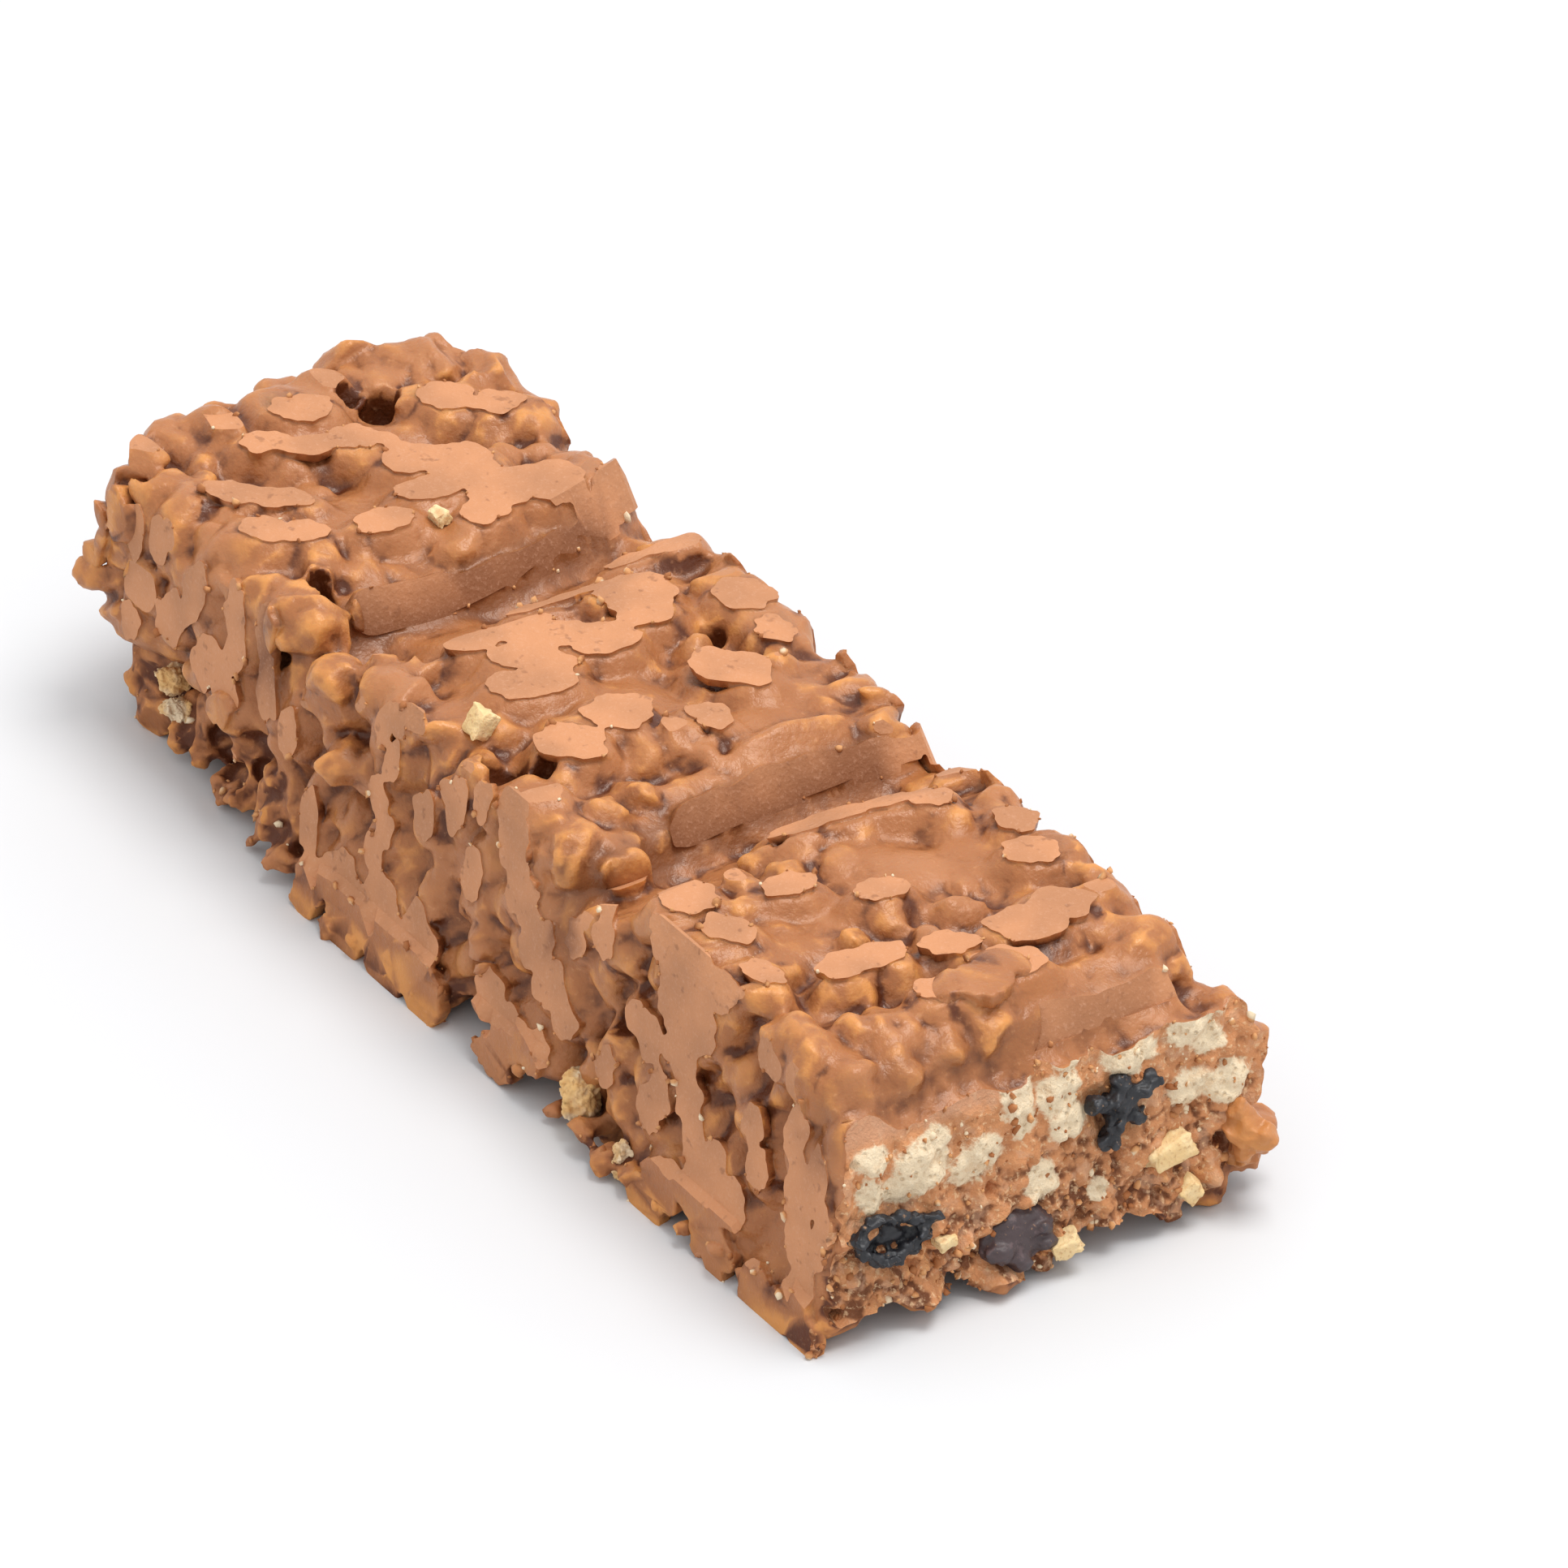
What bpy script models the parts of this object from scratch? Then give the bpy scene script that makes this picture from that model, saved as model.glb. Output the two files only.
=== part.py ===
"""A snapped length of moulded chocolate and crisped-cereal bar, with three raisins in its broken face.

+X runs along the bar to the broken end, -Y is the long side that shows, +Z is up.
Sizes are in millimetres and are turned into metres where a mesh is made.
"""

import math
import random

import bmesh
import bpy
from mathutils import Euler, Matrix, Vector, noise

MM = 0.001
NEAR = 0.001  # how close a value counts as being on an edge

# The mould: a trapezoid section with drafted sides, on its wide base.
HEIGHT = 18.8
TOP_HALF = 14.0
FLARE = 2.5  # how much wider each side is at the base than at the top
BACK = -47.6  # the moulded end
SNAP = 42.4  # the broken end, at its top edge
SNAP_LEAN = 1.7  # how much further its foot stands out
UNDERSIDE = -1.0  # the rough base reaches this level
END_CORNER = 7.0  # radius of the moulded end's corners, seen from above
END_REACH = 14.0  # how far along the bar that rounding is felt
EDGE_ROUND = 0.45  # how far edges are drawn in besides
FOOT_RECESS = 2.6  # the foot is broken away by this much near the moulded end
FOOT_TOP = 7.0
FOOT_LENGTH = 20.0

# The snapping grooves across the top: a steep wall, then a long gentle rise.
GROOVE_PITCH = 31.7
FIRST_GROOVE = -21.7
GROOVES = [FIRST_GROOVE + i * GROOVE_PITCH for i in range(3)]
GROOVE_DEPTH = 3.9
WALL_RUN = 2.2
WALL_WAVE = 0.9  # how far the grooves' edges wander
RISE_RUN = 8.2

# The surface: small crisps under chocolate, as bumps of their size, with larger ones standing clear.
GRID = 2.1  # spacing of the points that carry the bumps
BUMP_PITCH = 5.2  # spacing of the bumps
BUMP_REACH = 0.62  # from a bump's middle to its crease, as a share of the spacing
CREST_DEPTH = 0.1  # bumps rise to this far inside the mould
CREASE_DEPTH = 1.8  # and the creases between them lie this far inside it
BUMP_RANGE = 0.65  # how much lower some bumps are
MEAN_DEPTH = 0.95  # the plain block lies this far inside the mould
CRUMB_RELIEF = 0.45  # unevenness of the broken face
SMOOTH_WALL_DEPTH = 0.4  # the grooves' steep walls lie this far inside the mould
PLATE_DEPTH = 2.4  # how far a pressed plate reaches into the bar
PLATE_SIDES = 9
PLATE_RIPPLE = 0.34  # how uneven a plate's outline is
FAR_PLATES = 15
END_PLATES = 4
REST_LEVEL = UNDERSIDE + 0.35  # the lowest bumps are flat here, where they rest
GAP = 0.3  # between a raisin and its pocket
SHARP_ANGLE = 40.0  # edges sharper than this, in degrees, aren't shaded smooth

CHOCOLATE = (0.40, 0.17, 0.085)
RAISIN = (0.018, 0.014, 0.02)

# Flat plates pressed on the mould's top: x, y, length, width, turn in degrees.
TOP_PLATES = [
    (-43.0, -0.4, 4.2, 3.4, 60),
    (-38.6, -3.4, 4.2, 2.4, 60),
    (-37.8, -0.6, 4.2, 2.2, 80),
    (-32.6, 3.2, 6.4, 5.0, 70),
    (-29.4, 4.4, 5.6, 5.0, 70),
    (-26.0, 5.4, 5.0, 5.4, 20),
    (-28.2, -3.3, 4.0, 2.6, 90),
    (-35.0, -8.6, 5.6, 2.4, 40),
    (-30.5, -9.6, 4.2, 2.6, 20),
    (-11.6, -4.4, 7.0, 4.4, 80),
    (-9.6, -1.2, 5.0, 4.0, 60),
    (-6.6, -5.2, 6.6, 3.8, 80),
    (-11.4, 5.6, 6.0, 5.0, 60),
    (-8.2, 1.4, 4.6, 3.8, 80),
    (-0.6, -2.9, 4.6, 4.2, 30),
    (0.9, -7.2, 4.8, 4.4, 20),
    (-1.2, 6.2, 5.6, 4.0, 20),
    (2.9, 1.9, 3.2, 2.4, 20),
    (-7.5, 10.6, 4.4, 3.4, 30),
    (-18.0, 9.8, 3.6, 2.2, 80),
    (16.8, 2.6, 8.4, 4.6, 75),
    (22.5, -4.7, 3.6, 2.6, 70),
    (26.0, -0.1, 3.4, 2.4, 70),
    (25.6, -8.6, 5.6, 3.0, 60),
    (31.7, -5.4, 5.4, 2.8, 90),
    (33.3, 0.2, 3.4, 2.6, 80),
    (34.2, 6.8, 6.2, 4.8, 75),
    (37.4, 1.2, 4.4, 5.6, 20),
    (24.6, 9.0, 4.0, 3.0, 60),
    (6.0, 10.6, 4.2, 3.2, 30),
]

# Flat plates on the long side that shows: x, z, length along x, height, turn in degrees.
SIDE_PLATES = [
    (-41.2, 16.2, 2.6, 5.6, 0),
    (-35.6, 11.4, 3.0, 4.6, 40),
    (-28.4, 15.0, 2.8, 4.6, 0),
    (-24.2, 14.4, 2.8, 6.6, -10),
    (-33.0, 16.4, 2.6, 3.2, 0),
    (-8.2, 16.6, 2.4, 5.2, 30),
    (-9.6, 9.2, 2.8, 4.8, -30),
    (-15.2, 3.0, 4.0, 6.2, 30),
    (-10.6, 2.8, 6.4, 5.6, 0),
    (-5.4, 3.4, 6.8, 6.4, 0),
    (-1.4, 1.8, 5.0, 5.0, 20),
    (4.9, 16.4, 3.8, 5.4, 10),
    (7.2, 12.0, 3.8, 6.6, 25),
    (10.6, 8.6, 3.8, 6.6, 30),
    (6.4, 3.4, 5.6, 4.6, 10),
    (15.8, 15.6, 2.6, 5.2, 0),
    (23.4, 17.0, 5.6, 5.2, 0),
    (25.6, 13.2, 6.4, 5.6, 0),
    (23.8, 10.6, 5.8, 4.0, 20),
    (27.2, 8.0, 3.6, 5.6, 20),
    (25.6, 4.2, 4.6, 4.4, -20),
    (31.6, 3.4, 6.2, 5.6, 10),
    (36.6, 4.6, 4.4, 6.4, 20),
    (41.0, 8.4, 2.8, 11.0, 10),
    (39.6, 2.0, 4.6, 5.0, 0),
    (0.8, 12.6, 3.0, 3.4, 0),
]

# Crisps in the broken face: y, z, width, height.
FACE_CRISPS = [
    (-11.9, 12.7, 2.6, 2.6),
    (-8.4, 10.5, 3.4, 4.6),
    (-11.7, 9.4, 2.8, 2.4),
    (-3.3, 9.5, 3.8, 2.8),
    (-0.9, 12.6, 2.4, 4.2),
    (2.3, 13.9, 3.0, 3.6),
    (2.6, 10.1, 2.6, 2.4),
    (0.8, 6.5, 2.8, 1.8),
    (7.4, 13.6, 3.8, 3.0),
    (11.8, 12.9, 3.2, 2.8),
    (11.6, 9.0, 2.4, 2.6),
    (5.2, 4.2, 2.2, 2.0),
    (10.3, 5.2, 4.0, 2.4),
]
CRISP_SINK = 1.0  # how far their middles lie behind the broken face
CRISP_HALF_DEPTH = 1.5

# Raisins in the broken face: name, y, z, half width, half height, half depth, turn in degrees.
RAISINS = [
    ("raisin_left", -10.3, 6.4, 3.4, 1.75, 2.0, 8),
    ("raisin_middle", -0.7, 3.4, 3.5, 2.2, 2.1, 12),
    ("raisin_right", 6.8, 9.8, 2.6, 2.6, 1.9, 30),
]
RAISIN_SINK = 1.0  # how far the middle of a raisin lies behind the broken face

# Loose-ended crisps that stand out past the mould: x, y, z, half length, half thickness.
NUBS = [
    (-45.6, -15.4, 10.2, 2.0, 1.7),
    (-46.2, -13.2, 7.0, 2.2, 1.9),
    (-47.6, -4.6, 17.0, 2.5, 1.9),
    (-48.0, 1.6, 15.2, 2.6, 1.9),
    (-48.0, 6.2, 17.2, 2.6, 1.8),
    (-45.4, 10.6, 17.0, 2.6, 1.9),
    (-47.4, 4.0, 8.4, 2.4, 1.9),
    (-43.4, -9.2, 17.6, 2.7, 1.9),
    (-41.6, 4.2, 17.9, 2.4, 1.7),
    (41.4, 16.2, 4.2, 2.6, 2.0),
    (40.4, 14.6, 13.4, 2.0, 1.6),
    (42.6, -11.0, 0.6, 2.6, 2.0),
    (42.8, -2.6, 0.4, 2.4, 1.7),
    (42.4, 5.6, 0.8, 2.6, 1.8),
]

# Holes between crisps: x, y, z, radius.
PITS = [
    (-42.2, 6.2, 18.2, 2.0),
    (-25.0, -10.4, 17.6, 1.5),
    (-0.6, -11.2, 18.0, 1.7),
    (36.6, -15.2, 8.0, 1.2),
    (17.8, -14.6, 9.6, 1.7),
    (3.4, -15.4, 7.6, 1.9),
]


def clear_scene():
    for leftover in list(bpy.data.objects):
        bpy.data.objects.remove(leftover)


def new_collection(name):
    made = bpy.data.collections.new(name)
    bpy.context.scene.collection.children.link(made)
    return made


def new_object(name, mesh_maker, where):
    """An object in the collection, from a bmesh in millimetres."""
    shape = bmesh.new()
    mesh_maker(shape)
    bmesh.ops.scale(shape, vec=(MM, MM, MM), verts=shape.verts)
    bmesh.ops.recalc_face_normals(shape, faces=shape.faces)
    mesh = bpy.data.meshes.new(name)
    shape.to_mesh(mesh)
    shape.free()
    made = bpy.data.objects.new(name, mesh)
    where.objects.link(made)
    return made


def make_material(name, colour, roughness):
    made = bpy.data.materials.new(name)
    made.use_nodes = True
    surface = made.node_tree.nodes["Principled BSDF"]
    surface.inputs["Base Color"].default_value = (*colour, 1.0)
    surface.inputs["Roughness"].default_value = roughness
    surface.inputs["Metallic"].default_value = 0.0
    return made


def half_width(z):
    """Distance from the middle plane to the drafted side at this height."""
    return TOP_HALF + FLARE * (1.0 - z / HEIGHT)


def top_height(x):
    """Height of the moulded top along the bar, with its grooves."""
    for bottom in GROOVES:
        along = x - bottom
        if -WALL_RUN < along <= 0.0:
            return HEIGHT - GROOVE_DEPTH * (1.0 + along / WALL_RUN)
        if 0.0 < along <= RISE_RUN:
            return HEIGHT - GROOVE_DEPTH * (1.0 - along / RISE_RUN)
    return HEIGHT


def top_normal(x):
    step = 0.2
    slope = (top_height(x + step) - top_height(x - step)) / (2.0 * step)
    return Vector((-slope, 0.0, 1.0)).normalized()


def evenly(low, high):
    """Places between two limits, about a grid's spacing apart, without the first."""
    count = max(1, round((high - low) / GRID))
    return [low + (high - low) * (i + 1) / count for i in range(count)]


def stations():
    """Places along the bar for the grid, with one at the edges and the bottom of each groove."""
    places = []
    start = BACK
    for bottom in GROOVES:
        places += evenly(start, bottom - WALL_RUN)
        if bottom < SNAP - 0.5 * GRID:
            places.append(bottom)
        start = min(bottom + RISE_RUN, SNAP)
        places += evenly(bottom, start)
    return [place for place in places if place < SNAP - 0.3 * GRID]


def ramp(value, start, end):
    """0 at the start, 1 at the end, and level beyond them."""
    return min(1.0, max(0.0, (value - start) / (end - start)))


def foot_recess(x, z):
    """How far the broken foot is drawn in."""
    near_end = ramp(x, BACK + 1.3 * FOOT_LENGTH, BACK + 0.7 * FOOT_LENGTH)
    return FOOT_RECESS * near_end * ramp(z, FOOT_TOP, 0.6 * FOOT_TOP)


def snap_at(z):
    """Where the broken face lies at this height."""
    return SNAP + SNAP_LEAN * (1.0 - ramp(z, 0.0, HEIGHT))


def end_curve(y):
    """How far the moulded end is drawn in towards its corners."""
    past = abs(y) - (TOP_HALF - END_CORNER)
    if past <= 0.0:
        return 0.0
    past = min(past, 0.98 * END_CORNER)
    return END_CORNER - math.sqrt(END_CORNER**2 - past**2)


def moulded_place(x, across, up):
    """A place in the mould, at the mean depth of the bumps: across from -1 to 1, up from 0 to 1."""
    z = UNDERSIDE + MEAN_DEPTH + up * (top_height(x) - UNDERSIDE - 2.0 * MEAN_DEPTH)
    half = half_width(z) - MEAN_DEPTH
    if across < 0.0:
        half -= foot_recess(x, z)
    y = across * half
    near_end = ramp(x, BACK + END_REACH, BACK)
    drawn_in = near_end * (end_curve(y) + MEAN_DEPTH + 0.6 * foot_recess(BACK, z))
    wave = WALL_WAVE * noise.noise(Vector((0.12 * x, 0.2 * y, 0.5))) * ramp(SNAP - x, 0.0, GRID)
    return Vector((x + drawn_in + up * wave * (1.0 - near_end), y, z))


def bump_depth(place):
    """How far inside the mould the surface lies here: round bumps, each with its own height."""
    distances, centres = noise.voronoi(place / BUMP_PITCH)
    crease = min(1.0, (distances[0] / BUMP_REACH) ** 2)
    lower = BUMP_RANGE * (0.5 + 0.5 * noise.noise(centres[0] * 7.3))
    return CREST_DEPTH + lower + (CREASE_DEPTH - CREST_DEPTH - lower) * crease


def bumpy_block(shape):
    """The whole length as one block in its mould, with the bumps of small crisps all over."""
    bmesh.ops.create_cube(shape, size=1.0)
    for vert in shape.verts:
        across, up = 2.0 * vert.co.y, vert.co.z + 0.5
        vert.co = Vector((BACK if vert.co.x < 0 else SNAP, across, up))
    planes = [((x, 0.0, 0.0), (1.0, 0.0, 0.0)) for x in stations()]
    planes += [((0.0, y / TOP_HALF, 0.0), (0.0, 1.0, 0.0)) for y in evenly(-TOP_HALF, TOP_HALF)[:-1]]
    planes += [((0.0, 0.0, z / HEIGHT), (0.0, 0.0, 1.0)) for z in evenly(0.0, HEIGHT)[:-1]]
    for place, normal in planes:
        everything = shape.verts[:] + shape.edges[:] + shape.faces[:]
        bmesh.ops.bisect_plane(shape, geom=everything, plane_co=place, plane_no=normal)
    for vert in shape.verts:
        vert.co = bumped(*vert.co)


def bumped(x, across, up):
    """A point of the plain block, moved to the bumpy surface."""
    place = moulded_place(x, across, up)
    depth = bump_depth(place) - MEAN_DEPTH
    if on_smooth_wall(x, up):
        depth = SMOOTH_WALL_DEPTH - MEAN_DEPTH
    inward = Vector((0.0, 0.0, 0.0))
    if up > 1.0 - NEAR or up < NEAR:
        inward.z = -1.0 if up > 0.5 else 1.0
    if abs(across) > 1.0 - NEAR:
        inward.y = -math.copysign(1.0, across)
    if x < BACK + NEAR:
        inward.x = 1.0
    faces_met = round(inward.length_squared)
    depth += EDGE_ROUND * (faces_met - 1)
    place += inward * depth
    if x > SNAP - NEAR:
        place.x = snap_at(place.z) - CRUMB_RELIEF * (0.5 + depth / CREASE_DEPTH)
    return place


def on_smooth_wall(x, up):
    """The steep walls of the grooves came clean from the mould."""
    return up > 1.0 - NEAR and any(-WALL_RUN - NEAR < x - bottom < NEAR for bottom in GROOVES)


def pebble(centre, halves, turn, detail, rough, seed):
    """A rounded, slightly uneven pebble: a squashed icosphere with a low swell."""

    def make(shape):
        bmesh.ops.create_icosphere(shape, subdivisions=detail, radius=1.0)
        for vert in shape.verts:
            swell = noise.noise(vert.co * 1.3 + Vector((seed, 2.0 * seed, 0.0)))
            vert.co *= 1.0 + rough * swell
        place = Matrix.Translation(Vector(centre)) @ turn.to_matrix().to_4x4()
        bmesh.ops.transform(shape, matrix=place @ Matrix.Diagonal((*halves, 1.0)), verts=shape.verts)

    return make


def pressed_plate(centre, normal, along, length, width, seed):
    """A low uneven disc whose top lies in the mould wall: a puddle of chocolate pressed flat."""
    across = normal.cross(along)
    frame = Matrix((along, across, normal)).transposed().to_4x4()
    proud = 0.02 + 0.07 * (0.5 + 0.5 * math.sin(5.0 * seed))  # keeps two plates' tops apart

    def make(shape):
        bmesh.ops.create_cone(
            shape, cap_ends=True, segments=PLATE_SIDES, radius1=0.5, radius2=0.5, depth=1.0
        )
        for vert in shape.verts:
            ripple = noise.noise(Vector((vert.co.x * 2.6, vert.co.y * 2.6, seed)))
            reach = 1.0 + PLATE_RIPPLE * ripple
            under = 0.88 if vert.co.z < 0 else 1.0
            vert.co.x *= length * reach * under
            vert.co.y *= width * reach * under
            vert.co.z = proud if vert.co.z > 0 else -PLATE_DEPTH
        place = Matrix.Translation(Vector(centre)) @ frame
        bmesh.ops.transform(shape, matrix=place, verts=shape.verts)

    return make


def side_point(x, z, side):
    return Vector((x, side * half_width(z), z))


def side_normal(side):
    draft = math.atan2(FLARE, HEIGHT)
    return Vector((0.0, side * math.cos(draft), math.sin(draft)))


def lay_plates(crisps):
    """The flat plates pressed on the top and on the long side that shows."""
    for i, (x, y, length, width, turn) in enumerate(TOP_PLATES):
        outward = top_normal(x)
        level = Vector((math.cos(math.radians(turn)), math.sin(math.radians(turn)), 0.0))
        along = (level - outward * level.dot(outward)).normalized()
        place = Vector((x, y, top_height(x)))
        plate = pressed_plate(place, outward, along, length, width, 3.0 + i)
        new_object(f"top_plate_{i}", plate, crisps)
    outward = side_normal(-1.0)
    upward = outward.cross(Vector((1.0, 0.0, 0.0)))
    for i, (x, z, length, height, turn) in enumerate(SIDE_PLATES):
        angle = math.radians(turn)
        along = Vector((1.0, 0.0, 0.0)) * math.cos(angle) - upward * math.sin(angle)
        plate = pressed_plate(side_point(x, z, -1.0), outward, along, length, height, 40.0 + i)
        new_object(f"side_plate_{i}", plate, crisps)


def scatter_plates(crisps):
    """Plates on the far side and the moulded end, by a seeded rule."""
    draw = random.Random(31)
    outward = side_normal(1.0)
    for i in range(FAR_PLATES):
        x = BACK + 6.0 + (i + draw.uniform(-0.2, 0.2)) * (SNAP - BACK - 8.0) / FAR_PLATES
        z = draw.uniform(3.0, 5.5) if i % 2 else draw.uniform(9.5, 0.8 * top_height(x))
        along = Vector((1.0, 0.0, 0.0))
        size = (draw.uniform(3.0, 5.2), draw.uniform(3.6, 5.4))
        plate = pressed_plate(side_point(x, z, 1.0), outward, along, *size, 80.0 + i)
        new_object(f"far_plate_{i}", plate, crisps)
    for i in range(END_PLATES):
        y = (i + 0.5) * 16.0 / END_PLATES - 8.0
        z = 13.0 if i % 2 else 8.0
        size = (draw.uniform(3.4, 4.6), draw.uniform(3.6, 4.8))
        place = Vector((BACK, y, z))
        plate = pressed_plate(place, Vector((-1.0, 0.0, 0.0)), Vector((0.0, 1.0, 0.0)), *size, 90.0 + i)
        new_object(f"end_plate_{i}", plate, crisps)


def apply_boolean(target, operation, other, solver="EXACT"):
    """One Boolean against an object or a collection, applied to the mesh."""
    cut = target.modifiers.new(operation.lower(), "BOOLEAN")
    cut.operation = operation
    cut.solver = solver
    if isinstance(other, bpy.types.Collection):
        cut.operand_type = "COLLECTION"
        cut.collection = other
    else:
        cut.object = other
    graph = bpy.context.evaluated_depsgraph_get()
    result = bpy.data.meshes.new_from_object(target.evaluated_get(graph))
    target.modifiers.clear()
    target.data = result


def empty_collection(collection):
    for used in list(collection.objects):
        bpy.data.objects.remove(used)


def face_relief(crisps):
    """Broken crisps that stand a little out of the broken face, and the nubs past the mould."""
    level = Euler((0.0, 0.0, 0.0))
    for i, (y, z, width, height) in enumerate(FACE_CRISPS):
        halves = (CRISP_HALF_DEPTH, 0.5 * width, 0.5 * height)
        crisp = pebble((snap_at(z) - CRISP_SINK, y, z), halves, level, 2, 0.25, i)
        new_object(f"face_crisp_{i}", crisp, crisps)
    for i, (x, y, z, long_half, thick_half) in enumerate(NUBS):
        turn = Euler((0.6 * i, 1.1 * i, 0.7 * i))
        halves = (long_half, thick_half, thick_half)
        new_object(f"nub_{i}", pebble((x, y, z), halves, turn, 2, 0.2, 20.0 + i), crisps)


def raisin_shape(row, grow, detail):
    """A wrinkled raisin in the broken face, or the pocket it lies in when grown."""
    _, y, z, half_wide, half_high, half_deep, turn_degrees = row
    halves = (half_deep + grow, half_wide + grow, half_high + grow)
    turn = Euler((math.radians(turn_degrees), 0.0, 0.0))
    return pebble((snap_at(z) - RAISIN_SINK, y, z), halves, turn, detail, 0.16, 60.0 + y)


def keep_largest_body(target):
    """Drops any loose scrap that a Boolean left."""
    shape = bmesh.new()
    shape.from_mesh(target.data)
    unseen = set(shape.verts)
    bodies = []
    while unseen:
        body = {unseen.pop()}
        edge_of_body = set(body)
        while edge_of_body:
            near = {e.other_vert(v) for v in edge_of_body for e in v.link_edges}
            edge_of_body = near & unseen
            unseen -= edge_of_body
            body |= edge_of_body
        bodies.append(body)
    bodies.sort(key=len)
    loose = [vert for body in bodies[:-1] for vert in body]
    bmesh.ops.delete(shape, geom=loose, context="VERTS")
    shape.to_mesh(target.data)
    shape.free()


def table_under(shape):
    """Everything below the flat spots that the bar rests on."""
    bmesh.ops.create_cube(shape, size=2.0 * (SNAP - BACK))
    bmesh.ops.translate(shape, vec=(0.0, 0.0, BACK - SNAP + REST_LEVEL), verts=shape.verts)


def make_bar(part):
    bar = new_object("bar", bumpy_block, part)
    bar.data.materials.append(make_material("milk_chocolate", CHOCOLATE, 0.5))
    crisps = new_collection("crisps")
    lay_plates(crisps)
    scatter_plates(crisps)
    face_relief(crisps)
    apply_boolean(bar, "UNION", crisps)
    empty_collection(crisps)
    for i, (x, y, z, radius) in enumerate(PITS):
        halves = (radius, radius, 1.3 * radius)
        new_object(f"pit_{i}", pebble((x, y, z), halves, Euler(), 1, 0.0, i), crisps)
    for row in RAISINS:
        new_object(row[0] + "_pocket", raisin_shape(row, GAP, 2), crisps)
    new_object("table", table_under, crisps)
    apply_boolean(bar, "DIFFERENCE", crisps)
    empty_collection(crisps)
    bpy.data.collections.remove(crisps)
    keep_largest_body(bar)
    bar.data.shade_smooth()
    bar.data.set_sharp_from_angle(angle=math.radians(SHARP_ANGLE))
    return bar


def make_raisins(part):
    skin = make_material("raisin_skin", RAISIN, 0.35)
    raisins = []
    for row in RAISINS:
        raisin = new_object(row[0], raisin_shape(row, 0.0, 2), part)
        raisin.data.materials.append(skin)
        raisin.data.shade_smooth()
        raisins.append(raisin)
    return raisins


def centre_on_origin(nodes):
    """Moves all meshes so that the origin is the middle of the base of their common box."""
    points = [vert.co for node in nodes for vert in node.data.vertices]
    low = Vector([min(point[i] for point in points) for i in range(3)])
    high = Vector([max(point[i] for point in points) for i in range(3)])
    move = Vector((-(low.x + high.x) / 2, -(low.y + high.y) / 2, -low.z))
    for node in nodes:
        node.data.transform(Matrix.Translation(move))


def main():
    clear_scene()
    part = new_collection("protein_bar")
    nodes = [make_bar(part)] + make_raisins(part)
    centre_on_origin(nodes)


main()
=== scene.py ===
"""Looks of a snapped length of moulded chocolate and crisped-cereal bar, around its solid model.

Design sizes are in millimetres: +X runs along the bar to the broken end, -Y is the long side that
shows, +Z is up, and z = 0 is the rim of the mould. A finished mesh is in metres, in the frame's place.
"""

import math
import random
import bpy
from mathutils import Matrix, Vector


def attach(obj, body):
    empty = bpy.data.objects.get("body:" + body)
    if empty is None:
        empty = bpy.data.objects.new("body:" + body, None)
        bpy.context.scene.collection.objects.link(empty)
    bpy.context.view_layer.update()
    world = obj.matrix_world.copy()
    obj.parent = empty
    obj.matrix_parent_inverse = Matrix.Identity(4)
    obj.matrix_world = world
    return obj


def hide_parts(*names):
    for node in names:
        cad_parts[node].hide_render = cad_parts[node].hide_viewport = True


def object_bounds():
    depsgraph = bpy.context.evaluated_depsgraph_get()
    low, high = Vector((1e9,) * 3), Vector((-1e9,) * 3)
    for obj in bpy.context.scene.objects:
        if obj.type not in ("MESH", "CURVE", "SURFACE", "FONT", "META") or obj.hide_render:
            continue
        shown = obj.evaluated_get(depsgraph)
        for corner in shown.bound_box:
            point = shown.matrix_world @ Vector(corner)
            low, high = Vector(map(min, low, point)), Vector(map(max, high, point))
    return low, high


bl_info = {
    "name": "Crisped Cereal Chocolate Bar",
    "version": (1, 0, 0),
    "blender": (4, 5, 0),
    "location": "View3D > Sidebar > Cereal Bar",
    "description": "Builds the looks of a snapped chocolate and crisped-cereal bar",
    "category": "Object",
}

import bmesh
import bpy
import numpy as np
from bpy.props import FloatProperty, FloatVectorProperty, IntProperty, PointerProperty
from mathutils import Euler, Matrix, Vector, kdtree, noise

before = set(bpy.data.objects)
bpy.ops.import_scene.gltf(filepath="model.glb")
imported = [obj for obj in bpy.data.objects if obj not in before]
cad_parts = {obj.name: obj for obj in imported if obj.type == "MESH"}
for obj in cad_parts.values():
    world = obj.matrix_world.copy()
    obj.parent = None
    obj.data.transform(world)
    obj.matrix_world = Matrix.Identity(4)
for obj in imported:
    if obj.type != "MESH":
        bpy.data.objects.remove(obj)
cad_box = [list(corner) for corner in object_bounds()]

MM = 0.001
NEAR = 0.001  # how close a value counts as being on an edge
SHIFT = Vector((2.579, -0.738, 0.65))  # from the design's place to the frame's

# The mould: a trapezoid section with drafted sides, on its wide base.
HEIGHT = 18.8
TOP_HALF = 14.0
FLARE = 2.5
BACK = -47.6
SNAP = 42.4
SNAP_LEAN = 1.7
PAST_CUT = SNAP + 3.0  # how far the crisps go on, to be broken off
PAST_SNAP = 52.0
UNDERSIDE = -1.0
REST_LEVEL = UNDERSIDE + 0.35  # the floor that the bar lies on
END_CORNER = 7.0
END_REACH = 14.0
FOOT_RECESS = 2.6
FOOT_TOP = 7.0
FOOT_LENGTH = 20.0
FOOT_CHAMFER = 0.7
FOOT_CHAMFER_TOP = 1.2
TOP_CHAMFER = 0.5
TOP_CHAMFER_START = 0.94  # as a share of the height

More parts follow.
